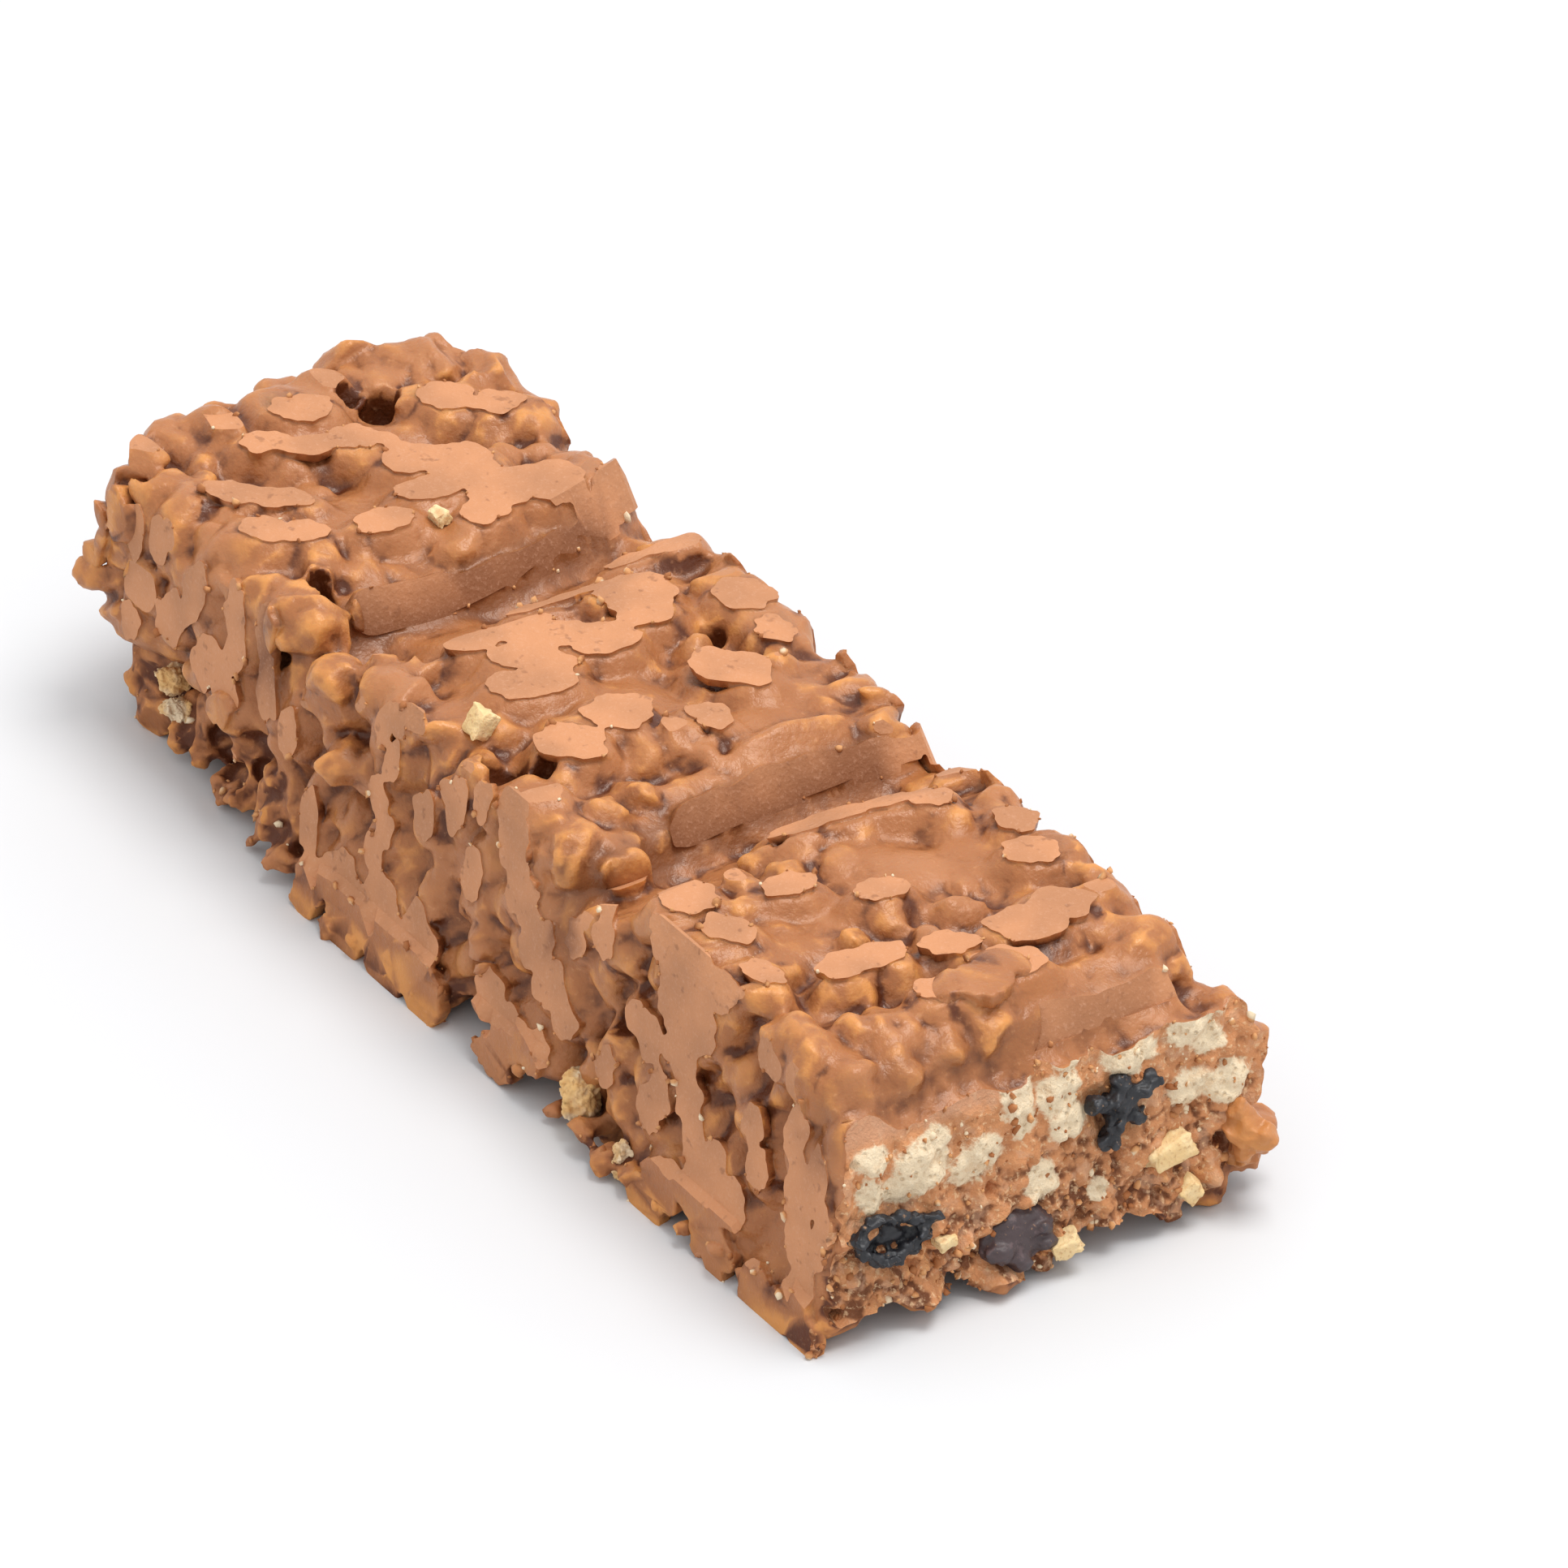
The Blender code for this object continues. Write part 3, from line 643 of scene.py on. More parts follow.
LAMP_PLACE = Vector((0.15, 0.28, 1.20))  # metres, in the frame


# ---------------------------------------------------------------- settings


def shade(name, description, value):
    """A colour setting, in linear light."""
    return FloatVectorProperty(
        name=name, description=description, subtype="COLOR", size=3, min=0.0, max=1.0, default=value
    )


def length(name, description, value):
    """A size setting, in metres."""
    return FloatProperty(
        name=name, description=description, subtype="DISTANCE", unit="LENGTH", min=0.0, precision=5,
        default=value,
    )


def whole_number(name, description, least, value):
    """A setting that is a whole number."""
    return IntProperty(name=name, description=description, min=least, default=value)


class BarSizes(bpy.types.PropertyGroup):
    """Sizes of the chocolate mass and of what is scattered on it."""

    crisp_pitch: length("Crisp pitch", "How far apart the coated crisps lie under the surface", 0.0036)
    crisp_half: length("Crisp half length", "Mean half length of a coated crisp", 0.00185)
    core_depth: length("Film depth", "How far the chocolate between the crisps lies inside the mould", 0.0021)
    cell: length("Cell", "Cell of the voxel mesh that melts the crisps into one mass", 0.00023)
    flow_rounds: whole_number("Flow", "How many times the film is smoothed over the crisps", 0, 10)
    most_triangles: whole_number("Most triangles", "Most triangles in the mass", 1000, 194000)
    crumb_count: whole_number("Crumbs", "How many loose grains cling to the bar", 0, 900)


class BarColours(bpy.types.PropertyGroup):
    """Colours of the chocolate and of what is in it."""

    film: shade("Film", "Glossy milk chocolate between the flat facets", (0.366, 0.132, 0.043))
    # Partly painted light: crest is the tan of thin film over a crisp, made lighter still as if light falls
    # on its crown.
    crest: shade("Crest", "Thin film over the top of a crisp", (0.645, 0.270, 0.072))
    # Painted shade: crease darkens the film and the crumbly foot deep between crisps, where shade falls;
    # pressed facets also take it for their real specks.
    crease: shade("Crease", "Film deep between crisps", (0.095, 0.021, 0.005))
    pressed: shade("Pressed facet", "Matte chocolate that lay flat against the mould", (0.500, 0.215, 0.094))
    # Painted shade: wall stands in for the shade in a groove's recess and the other piece's shadow, on the
    # film and on the pressed strips.
    wall: shade("Groove wall", "Smooth dark chocolate low on the groove walls", (0.205, 0.070, 0.024))
    broken: shade("Broken mass", "Chocolate and ground cereal in the broken face", (0.500, 0.215, 0.090))
    crisp: shade("Bare crisp", "Cereal crisp with no chocolate on it", (0.770, 0.610, 0.410))
    nut: shade("Nut", "Broken nut", (0.760, 0.520, 0.240))
    skin: shade("Raisin skin", "Dark raisin skin", (0.013, 0.013, 0.016))
    flesh: shade("Raisin flesh", "Purple-grey inside of a cut raisin", (0.100, 0.062, 0.064))


class StudioSettings(bpy.types.PropertyGroup):
    """Floor and light."""

    floor: shade("Floor", "Pale floor", (0.655, 0.655, 0.660))
    floor_side: length("Floor side", "Side of the square floor", 4.0)
    sky: FloatProperty(name="Sky", description="Strength of the white surroundings", min=0.0, default=1.0)
    lamp: FloatProperty(
        name="Lamp", description="Power of the large lamp overhead, in watts", unit="POWER", min=0.0,
        default=11.1,
    )
    lamp_side: length("Lamp side", "Side of the square lamp", 0.6)


# ---------------------------------------------------------------- the mould


def ramp(value, start, end):
    """0 at the start, 1 at the end, and level beyond them."""
    return min(1.0, max(0.0, (value - start) / (end - start)))


def smooth_ramp(value, start, end):
    """As ramp, but easing out of the start and into the end."""
    share = ramp(value, start, end)
    return share * share * (3.0 - 2.0 * share)


def half_width(z):
    """Distance from the middle plane to the drafted side at this height."""
    return TOP_HALF + FLARE * (1.0 - z / HEIGHT)


def groove_bottom(groove, y):
    """Where a groove's bottom lies along the bar, at this place across it."""
    middle, skew, bend = groove
    return middle + skew * y + bend * y * y


def straight_top(x):
    """Height of the top over a straight version of the grooves."""
    for middle, _, _ in GROOVES:
        along = x - middle
        if -WALL_RUN < along <= 0.0:
            return HEIGHT - GROOVE_DEPTH * (1.0 + along / WALL_RUN)
        if 0.0 < along <= RISE_RUN:
            return HEIGHT - GROOVE_DEPTH * (1.0 - along / RISE_RUN)
    return HEIGHT


def groove_drift(x, y):
    """How far the top is carried along the bar here, so that the grooves wander as they do."""
    drift = 0.0
    for groove in GROOVES:
        middle = groove[0]
        share = smooth_ramp(abs(x - middle), GROOVE_REACH, 0.3 * GROOVE_REACH)
        drift += share * (groove_bottom(groove, y) - middle)
    return drift


def top_height(x, y):
    """Height of the mould's top here, grooves and all."""
    return straight_top(x - groove_drift(x, y))


def snap_at(z):
    """Where the broken face lies at this height."""
    return SNAP + SNAP_LEAN * (1.0 - ramp(z, 0.0, HEIGHT))


def foot_recess(x, z):
    """How far the broken foot near the moulded end is drawn in."""
    near_end = ramp(x, BACK + 1.3 * FOOT_LENGTH, BACK + 0.7 * FOOT_LENGTH)
    return FOOT_RECESS * near_end * ramp(z, FOOT_TOP, 0.6 * FOOT_TOP)


def end_curve(y):
    """How far the moulded end is drawn in towards its corners."""
    past = abs(y) - (TOP_HALF - END_CORNER)
    if past <= 0.0:
        return 0.0
    past = min(past, 0.98 * END_CORNER)
    return END_CORNER - math.sqrt(END_CORNER**2 - past**2)


def mould_place(x, across, up, inset, floor_level):
    """A place on a block that fills the mould, set in by a depth: across from -1 to 1, up from 0 to 1."""
    low = floor_level + inset
    z = low + up * (straight_top(x) - inset - low)
    half = half_width(z) - inset
    half -= FOOT_CHAMFER * ramp(z, FOOT_CHAMFER_TOP, UNDERSIDE)
    half -= TOP_CHAMFER * ramp(up, TOP_CHAMFER_START, 1.0)
    if across < 0.0:
        half -= foot_recess(x, z)
    y = across * half
    near_end = ramp(x, BACK + END_REACH, BACK)
    drawn_in = near_end * (end_curve(y) + inset + 0.6 * foot_recess(BACK, z))
    drift = groove_drift(x, y) * ramp(up, 0.3, 1.0)
    return Vector((x + drawn_in + drift, y, z))


def span(low, high, spacing):
    """Places between two limits, about evenly spaced, without the first."""
    count = max(1, round((high - low) / spacing))
    return [low + (high - low) * (i + 1) / count for i in range(count)]


def block_stations(spacing):
    """Places along the bar for the block's cuts, with one on every edge of a groove."""
    places = []
    start = BACK
    for middle, _, _ in GROOVES:
        places += span(start, middle - WALL_RUN, spacing)
        places += span(middle - WALL_RUN, middle, min(spacing, 0.5 * WALL_RUN))
        start = min(middle + RISE_RUN, PAST_SNAP)
        places += span(middle, start, spacing)
    return [place for place in places if place < PAST_SNAP - 0.3 * spacing]


def outward_of(x, across, up):
    """The way out of the block from a place on its top, its sides or its moulded end; none elsewhere."""
    way = Vector((
        -1.0 if x < BACK + NEAR else 0.0,
        math.copysign(1.0, across) if abs(across) > 1.0 - NEAR else 0.0,
        1.0 if up > 1.0 - NEAR else 0.0,
    ))
    return way.normalized()


def cut_across(shape, place, normal):
    """Cuts every face and edge that a plane crosses."""
    everything = shape.verts[:] + shape.edges[:] + shape.faces[:]
    bmesh.ops.bisect_plane(shape, geom=everything, plane_co=place, plane_no=normal)


def make_block(shape, spacing, place_of):
    """A cube cut into a grid, each corner then carried to its place. Gives each corner's way out."""
    bmesh.ops.create_cube(shape, size=1.0)
    for vert in shape.verts:
        across, up = 2.0 * vert.co.y, vert.co.z + 0.5
        vert.co = Vector((BACK if vert.co.x < 0 else PAST_SNAP, across, up))
    for x in block_stations(spacing):
        cut_across(shape, (x, 0.0, 0.0), (1.0, 0.0, 0.0))
    for y in span(-TOP_HALF, TOP_HALF, spacing)[:-1]:
        cut_across(shape, (0.0, y / TOP_HALF, 0.0), (0.0, 1.0, 0.0))
    for z in span(0.0, HEIGHT, spacing)[:-1]:
        cut_across(shape, (0.0, 0.0, z / HEIGHT), (0.0, 0.0, 1.0))
    outward = [outward_of(*vert.co) for vert in shape.verts]
    for vert in shape.verts:
        vert.co = place_of(*vert.co)
    bmesh.ops.recalc_face_normals(shape, faces=shape.faces)
    return outward


# ---------------------------------------------------------------- making objects


def new_object(name, shape, materials=()):
    """An object in the scene from a bmesh, which is freed."""
    mesh = bpy.data.meshes.new(name)
    for material in materials:
        mesh.materials.append(material)
    shape.to_mesh(mesh)
    shape.free()
    made = bpy.data.objects.new(name, mesh)
    bpy.context.scene.collection.objects.link(made)
    return made


def apply_modifiers(target):
    """Makes what the modifiers show the object's own mesh."""
    graph = bpy.context.evaluated_depsgraph_get()
    result = bpy.data.meshes.new_from_object(target.evaluated_get(graph))
    spent = target.data
    target.modifiers.clear()
    target.data = result
    bpy.data.meshes.remove(spent)


def apply_boolean(target, operation, other):
    """One Boolean with a closed mesh, applied, with the other object then removed."""
    cut = target.modifiers.new(operation.lower(), "BOOLEAN")
    cut.operation = operation
    cut.solver = "MANIFOLD"
    cut.object = other
    apply_modifiers(target)
    bpy.data.objects.remove(other)


def remesh(target, voxel):
    """Melts everything in the mesh into one skin, on cells of this size."""
    cells = target.modifiers.new("cells", "REMESH")
    cells.mode = "VOXEL"
    cells.voxel_size = voxel
    apply_modifiers(target)


def soften(target, factor, rounds):
    """Smooths the mesh by moving each vertex towards its neighbours."""
    flow = target.modifiers.new("flow", "SMOOTH")
    flow.factor = factor
    flow.iterations = rounds
    apply_modifiers(target)


def thin_out(target, most):
    """Fewer triangles, where the mesh has more than its most."""
    count = sum(len(face.vertices) - 2 for face in target.data.polygons)
    if count > most:
        fewer = target.modifiers.new("fewer", "DECIMATE")
        fewer.ratio = most / count
        apply_modifiers(target)


def drop_loose(target):
    """Keeps only the largest connected part of the mesh, and cuts its faces into triangles."""
    shape = bmesh.new()
    shape.from_mesh(target.data)
    unseen, largest = set(shape.verts), set()
    while unseen:
        front = [unseen.pop()]
        piece = set(front)
        while front:
            vert = front.pop()
            beside = {edge.other_vert(vert) for edge in vert.link_edges} & unseen
            unseen -= beside
            piece |= beside
            front.extend(beside)
        if len(piece) > len(largest):
            largest = piece
    loose = [vert for vert in shape.verts if vert not in largest]
    bmesh.ops.delete(shape, geom=loose, context="VERTS")
    bmesh.ops.triangulate(shape, faces=shape.faces[:])
    shape.to_mesh(target.data)
    shape.free()


def rows_of(mesh, field):
    """One of the vectors that every vertex holds, one row each."""
    flat = np.empty(3 * len(mesh.vertices))
    mesh.vertices.foreach_get(field, flat)
    return flat.reshape(-1, 3)


def places_of(mesh):
    """Every vertex's place, one row each."""
    return rows_of(mesh, "co")


def carry_to(target, places):
    """Puts every vertex at its new place, one row each."""
    target.data.vertices.foreach_set("co", places.ravel())
    target.data.update()


def push_in(target, inward):
    """Moves every vertex in along its normal, each by its own depth."""
    places = places_of(target.data) - rows_of(target.data, "normal") * inward[:, None]
    carry_to(target, places)


def write_attribute(target, name, values):
    """Keeps one number a vertex, for the materials to read."""
    layer = target.data.attributes.new(name, "FLOAT", "POINT")
    layer.data.foreach_set("value", np.asarray(values, dtype=np.float32))


def settle(target, *materials):
    """Carries a finished mesh from the design's millimetres to the frame's metres, dressed and riding."""
    target.data.transform(Matrix.Diagonal((MM, MM, MM, 1.0)) @ Matrix.Translation(SHIFT))
    target.data.update()
    for material in materials:
        target.data.materials.append(material)
    target.data.shade_smooth()
    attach(target, "root")


# ---------------------------------------------------------------- crisps and plates


class Heap:
    """Many small closed shapes in one mesh. Each is made on its own, which stays quick as the heap grows."""

    def __init__(self, name):
        self.name = name
        self.whole = bmesh.new()
        self.carrier = bpy.data.meshes.new(name + "_carrier")

    def take(self, shape):
        """Adds a bmesh, which is freed."""
        shape.to_mesh(self.carrier)
        shape.free()
        self.whole.from_mesh(self.carrier)

    def pebble(self, centre, halves, turn, rough, seed, detail=3, grain=1.4):
        """An uneven rounded pebble: an icosphere, swollen by low noise, squashed and turned."""
        shape = bmesh.new()
        bmesh.ops.create_icosphere(shape, subdivisions=detail, radius=1.0)
        offset = Vector((seed, 2.1 * seed, 0.7 * seed))
        for vert in shape.verts:
            vert.co *= 1.0 + rough * noise.noise(vert.co * grain + offset)
        place = Matrix.Translation(Vector(centre)) @ turn.to_matrix().to_4x4()
        bmesh.ops.transform(shape, matrix=place @ Matrix.Diagonal((*halves, 1.0)), verts=shape.verts)
        self.take(shape)

    def plate(self, place, length_along, width, seed):
        """A flat puddle pressed against the mould: a low disc with an uneven outline, drawn in below."""
        shape = bmesh.new()
        bmesh.ops.create_cone(
            shape, cap_ends=True, segments=PLATE_SIDES, radius1=0.5, radius2=0.5, depth=1.0
        )
        for vert in shape.verts:
            x, y, z = vert.co
            ripple = noise.noise(Vector((x * PLATE_RIPPLE_RATE, y * PLATE_RIPPLE_RATE, seed)))
            along, aside = x * length_along * PLATE_FRAY_RATE, y * width * PLATE_FRAY_RATE
            fray = noise.noise(Vector((along, aside, seed + 5.0)))
            reach = 1.0 + PLATE_RIPPLE * ripple + PLATE_FRAY * fray / max(length_along, width)
            under = PLATE_UNDERCUT if z < 0 else 1.0
            vert.co.x *= (length_along + PLATE_SPREAD) * reach * under
            vert.co.y *= (width + PLATE_SPREAD) * reach * under
            vert.co.z = PLATE_PROUD if z > 0 else -PLATE_THICKNESS
        bmesh.ops.transform(shape, matrix=place, verts=shape.verts)
        self.take(shape)

    def band(self, groove, stops, seed):
        """A strip pressed against a steep wall, by stops of y and the lower and upper share of its height."""
        shape = bmesh.new()
        bmesh.ops.create_cube(shape, size=1.0)
        first, last = stops[0][0], stops[-1][0]
        for cut in span(-0.5, 0.5, 0.5 / (last - first))[:-1]:
            cut_across(shape, (0.0, cut, 0.0), (0.0, 1.0, 0.0))
        stations = [stop[0] for stop in stops]
        for vert in shape.verts:
            y = first + (vert.co.y + 0.5) * (last - first)
            share = np.interp(y, stations, [stop[1 if vert.co.z < 0 else 2] for stop in stops])
            share += 0.10 * noise.noise(Vector((0.55 * y, vert.co.z, seed))) * ramp(share, 0.05, 0.2)
            out = PLATE_PROUD if vert.co.x > 0 else -PLATE_THICKNESS
            x = groove_bottom(groove, y) - share * WALL_RUN
            z = HEIGHT - GROOVE_DEPTH * (1.0 - share)
            vert.co = Vector((x, y, z)) + WALL_OUTWARD * out
        bmesh.ops.recalc_face_normals(shape, faces=shape.faces)
        self.take(shape)

    def finish(self, materials=()):
        """The heap's object."""
        bpy.data.meshes.remove(self.carrier)
        return new_object(self.name, self.whole, materials)


def any_turn(draw):
    """A turn about each axis, drawn at random."""
    return Euler([draw.uniform(0.0, math.tau) for _ in range(3)])


def surface_frame(place, normal, turn):
    """A matrix with its third axis outward, turned about it by an angle from the bar's length."""
    along = Vector((math.cos(turn), math.sin(turn), 0.0))
    if abs(normal.z) < 0.5:
        upward = normal.cross(Vector((1.0, 0.0, 0.0)))
        along = Vector((1.0, 0.0, 0.0)) * math.cos(turn) - upward * math.sin(turn)
    along = (along - normal * along.dot(normal)).normalized()
    across = normal.cross(along)
    turned = Matrix((along, across, normal)).transposed().to_4x4()
    return Matrix.Translation(place) @ turned


def top_normal(x, y):
    """The way out of the mould's top here."""
    step = 0.2
    slope = (top_height(x + step, y) - top_height(x - step, y)) / (2.0 * step)
    return Vector((-slope, 0.0, 1.0)).normalized()


def side_normal(side):
    """The way out of a drafted side, -1 for the side that shows and 1 for the far one."""
    draft = math.atan2(FLARE, HEIGHT)
    return Vector((0.0, side * math.cos(draft), math.sin(draft)))


def scatter(low_u, high_u, low_v, high_v, pitch, draw):
    """Uneven rows of places over a rectangle."""
    rows = max(1, round((high_v - low_v) / (0.87 * pitch)))
    for row in range(rows):
        v = low_v + (high_v - low_v) * (row + 0.5) / rows
        u = low_u + pitch * (0.25 + 0.5 * (row % 2))
        while u < high_u:
            yield u + draw.uniform(-0.3, 0.3) * pitch, v + draw.uniform(-0.25, 0.25) * pitch
            u += pitch


# ---------------------------------------------------------------- the chocolate mass


def pool(place):
    """How much chocolate has pooled between the crisps here, from 0 to 1."""
    return smooth_ramp(noise.noise(place * POOL_SPREAD + POOL_OFFSET), 0.0, 0.34)


def wall_is_smooth(x, y):
    """Whether this is at the top of a steep wall that has no crisps behind it."""
    for groove, low, high in SMOOTH_WALLS:
        along = x - groove_bottom(GROOVES[groove], y)
        if low < y < high and -WALL_RUN - 2.4 < along < 1.0:
            return True
    return False


def side_recess(side, x, z):
    """How far the long side is drawn in low down: only the side that shows, near the moulded end."""
    return foot_recess(x, z) if side < 0.0 else 0.0


def side_crisp_places(pitch, draw):
    """Places and ways out for the crisps just inside the two long sides."""
    for side in (-1.0, 1.0):
        for x, z in scatter(BACK + END_CORNER - 1.0, PAST_CUT, UNDERSIDE + 1.2, HEIGHT - 0.6, pitch, draw):
            y = side * half_width(z)
            if z < top_height(x, y) - 0.4:
                yield Vector((x, y - side * side_recess(side, x, z), z)), side_normal(side)


def end_crisp_places(pitch, draw):
    """Places and ways out for the crisps just inside the moulded end."""
    rows = round(HEIGHT / (0.9 * pitch))
    columns = round(2.0 * TOP_HALF / (0.95 * pitch)) + 1
    for row in range(rows):
        for i in range(columns):
            across = -1.0 + 2.0 * (i + 0.5 + 0.4 * draw.uniform(-1, 1)) / columns
            up = (row + 0.5 + draw.uniform(-0.25, 0.25)) / rows
            place = mould_place(BACK, across, up, 0.0, UNDERSIDE)
            beside = mould_place(BACK, across + 0.02, up, 0.0, UNDERSIDE)
            tangent = (beside - place).normalized()
            yield place, Vector((-abs(tangent.y), math.copysign(abs(tangent.x), across), 0.0)).normalized()


def crisp_places(pitch, draw):
    """Places just inside the mould, with the way out of it, for the crisps on every side."""
    for x, y in scatter(BACK + 2.0, PAST_CUT, -TOP_HALF + 0.3, TOP_HALF - 0.3, pitch, draw):
        reach = end_curve(y) * ramp(x, BACK + END_REACH, BACK)
        low = top_height(x, y) < HEIGHT - LOWEST_TOP_CRISP
        if x > BACK + 1.0 + reach and not low and not wall_is_smooth(x, y):
            yield Vector((x, y, top_height(x, y))), top_normal(x, y)
    yield from side_crisp_places(pitch, draw)
    yield from end_crisp_places(pitch, draw)
    for x, y in scatter(BACK + 3.0, PAST_CUT, -TOP_HALF - 1.0, TOP_HALF + 1.0, 1.15 * pitch, draw):
        yield Vector((x, y, UNDERSIDE)), Vector((0.0, 0.0, -1.0))


def foot_crisps():
    """Crisps that stick out of the rough bottom edges: x, y, z, half length, half thickness."""
    draw = random.Random(FOOT_SEED)
    found = []
    for side in (-1.0, 1.0):
        x = BACK + END_CORNER
        while x < SNAP:
            out = half_width(0.0) - side_recess(side, x, 0.0)
            half = draw.uniform(1.0, 1.7)
            y = side * (out + draw.uniform(-0.9, 0.25))
            found.append((x, y, draw.uniform(0.0, 1.6), half, 0.8 * half))
            x += draw.uniform(1.9, 4.2)
    return found


def add_crisps(heap, sizes):
    """Coated crisps at uneven depths under the surface, deeper where chocolate has pooled."""
    draw = random.Random(CRISP_SEED)
    half = sizes.crisp_half / MM
    for i, (place, outward) in enumerate(crisp_places(sizes.crisp_pitch / MM, draw)):
        size = half * draw.uniform(0.72, 1.18)
        halves = [size * draw.uniform(low, high) for low, high in CRISP_SQUASH]
        buried = CREST_DEPTH + draw.uniform(0.0, 1.0) + POOL_DEPTH * pool(place)
        centre = place - outward * (0.85 * size + buried)
        heap.pebble(centre, halves, any_turn(draw), CRISP_ROUGH, i, detail=2, grain=CRISP_GRAIN)
    for i, (x, y, z, long_half, thick_half) in enumerate(NUBS + BIG_CRISPS + foot_crisps()):
        turn = Euler([draw.uniform(-0.4, 0.4), draw.uniform(-0.4, 0.4), draw.uniform(0.0, math.tau)])
        halves = (long_half, 0.5 * (long_half + thick_half), thick_half)
        heap.pebble((x, y, z), halves, turn, CRISP_ROUGH, 500.0 + i, grain=CRISP_GRAIN)


def hidden_plates():
    """Flat facets for the far side and the moulded end, which repeat what the near side shows."""
    draw = random.Random(HIDDEN_PLATE_SEED)
    for x, z in scatter(BACK + END_CORNER + 1.0, SNAP - 1.0, 1.2, HEIGHT - 1.0, 4.6, draw):
        y = half_width(z)
        if z < top_height(x, y) - 1.0 and draw.random() < 0.62:
            place = surface_frame(Vector((x, y, z)), side_normal(1.0), draw.uniform(-0.7, 0.7))
            yield place, draw.uniform(1.6, 4.4), draw.uniform(2.4, 5.2)
    for y, z in scatter(-6.4, 6.4, 1.5, HEIGHT - 2.0, 4.4, draw):
        place = surface_frame(Vector((BACK, y, z)), Vector((-1.0, 0.0, 0.0)), 0.0)
        yield place, draw.uniform(1.6, 3.4), draw.uniform(1.8, 3.8)


def plate_places():
    """Every flat facet: its place, with its third axis outward, its length and its width."""
    for x, y, length_along, width, turn in TOP_PLATES:
        place = Vector((x, y, top_height(x, y)))
        yield surface_frame(place, top_normal(x, y), math.radians(turn)), length_along, width
    for x, z, length_along, height, turn in SIDE_PLATES:
        place = Vector((x, -half_width(z), z))
        yield surface_frame(place, side_normal(-1.0), math.radians(turn)), length_along, height
    yield from hidden_plates()


def make_plates(materials):
    """Chocolate pressed flat against the top, the sides, the moulded end and the steep groove walls."""
    heap = Heap("plates")
    for i, (place, length_along, width) in enumerate(plate_places()):
        heap.plate(place, length_along, width, 3.0 + i)
    for i, (groove, stops) in enumerate(WALL_BANDS):
        heap.band(GROOVES[groove], stops, 170.0 + i)
    plates = heap.finish(materials)
    remesh(plates, PLATE_CELL)
    soften(plates, 0.5, 1)
    return plates


def foot_share(place):
    """How broken and crumbly the surface is here: low on the sides, and higher up at the moulded end."""
    low = smooth_ramp(place.z, *CRUMBLY_FOOT)
    near_end = smooth_ramp(place.x, *CRUMBLY_END_ALONG) * smooth_ramp(place.z, *CRUMBLY_END_UP)
    return max(low, near_end * smooth_ramp(place.y, *CRUMBLY_END_ACROSS))


def crumbly(place, size):
    """Packed crumbs of about this size: 1 on the crown of each and 0 in the creases between them."""
    nearest = noise.voronoi(place / size)[0]
    return smooth_ramp(nearest[1] - nearest[0], 0.0, 0.55)


def roughen(target):
    """Uneven relief on the film, and crumbs along the foot, pushed in along each vertex's normal."""
    places = places_of(target.data)
    inward = np.zeros(len(places))
    for i, row in enumerate(places):
        place = Vector(row)
        uneven = 0.5 - noise.noise(place * 0.75) - 0.5 * noise.noise(place * 1.9)
        inward[i] = FILM_RELIEF * uneven * (1.0 - 0.7 * pool(place))
        share = foot_share(place)
        if share > 0.0:
            crumbs = sum(depth * (1.0 - crumbly(place, size)) for depth, size in FOOT_CRUMBS)
            inward[i] += share * crumbs
    push_in(target, inward)


def draw_up(target):
    """Draws the film up under each facet, so that it meets the rim from just inside and falls away around."""
    places = places_of(target.data)
    x, y, z = places.T.copy()
    half = TOP_HALF + FLARE * (1.0 - z / HEIGHT)
    end = BACK + np.array([end_curve(value) for value in y])
    top = np.array([top_height(*row[:2]) for row in places])
    depths = np.array((top - z, half + y, half - y, x - end))
    ways = np.array(((0.0, 0.0, 1.0), (0.0, -1.0, 0.0), (0.0, 1.0, 0.0), (-1.0, 0.0, 0.0)))
    shares = np.zeros_like(depths)
    for place, length_along, width in plate_places():
        turned = np.array(place.to_3x3())
        local = (places - np.array(place.translation)) @ turned
        side = np.argmax(ways @ turned[:, 2])
        apart = np.hypot(2.0 * local[:, 0] / length_along, 2.0 * local[:, 1] / width) - 1.0
        apart = np.clip(apart * 0.5 * min(length_along, width) / DRAW_REACH, 0.0, 1.0)
        shares[side] = np.maximum(shares[side], 1.0 - apart**2 * (3.0 - 2.0 * apart))
    for depth, way, share in zip(depths, ways, shares):
        level = np.clip(depth / DRAW_DEPTH, 0.0, 1.0)
        moved = 0.92 * share * DRAW_DEPTH * (level - level**4)
        places = places + way * np.minimum(moved, np.maximum(depth - RIM_DEPTH, 0.0))[:, None]
    carry_to(target, places)


def make_core(sizes):
    """The plain mass behind the crisps, with a low swell of its own, rounded over at the groove walls."""
    depth = sizes.core_depth / MM

    def core_place(x, across, up):
        """A corner of the mass: set in from the mould, then let out by the swell."""
        place = mould_place(x, across, up, depth, UNDERSIDE)
        swell = 0.6 * noise.noise(place * 0.2) + 0.3 * noise.noise(place * 0.5) + POOL_RISE * pool(place)
        outer = outward_of(x, across, up)
        if up > 1.0 - NEAR and wall_is_smooth(place.x, place.y):
            swell += 0.5 * depth
        for middle, _, _ in GROOVES:
            along = x - middle
            if up > 1.0 - NEAR and -WALL_RUN - NEAR < along < NEAR:
                low = ramp(along, -WALL_RUN, 0.0)
                swell = 0.35 * swell + (depth - WALL_FILM) * smooth_ramp(low, 0.0, 0.6)
                outer = Vector((0.5 - 0.5 * low, 0.0, 1.0))
        return place + outer * swell

    shape = bmesh.new()
    make_block(shape, CORE_SPACING, core_place)
    return shape


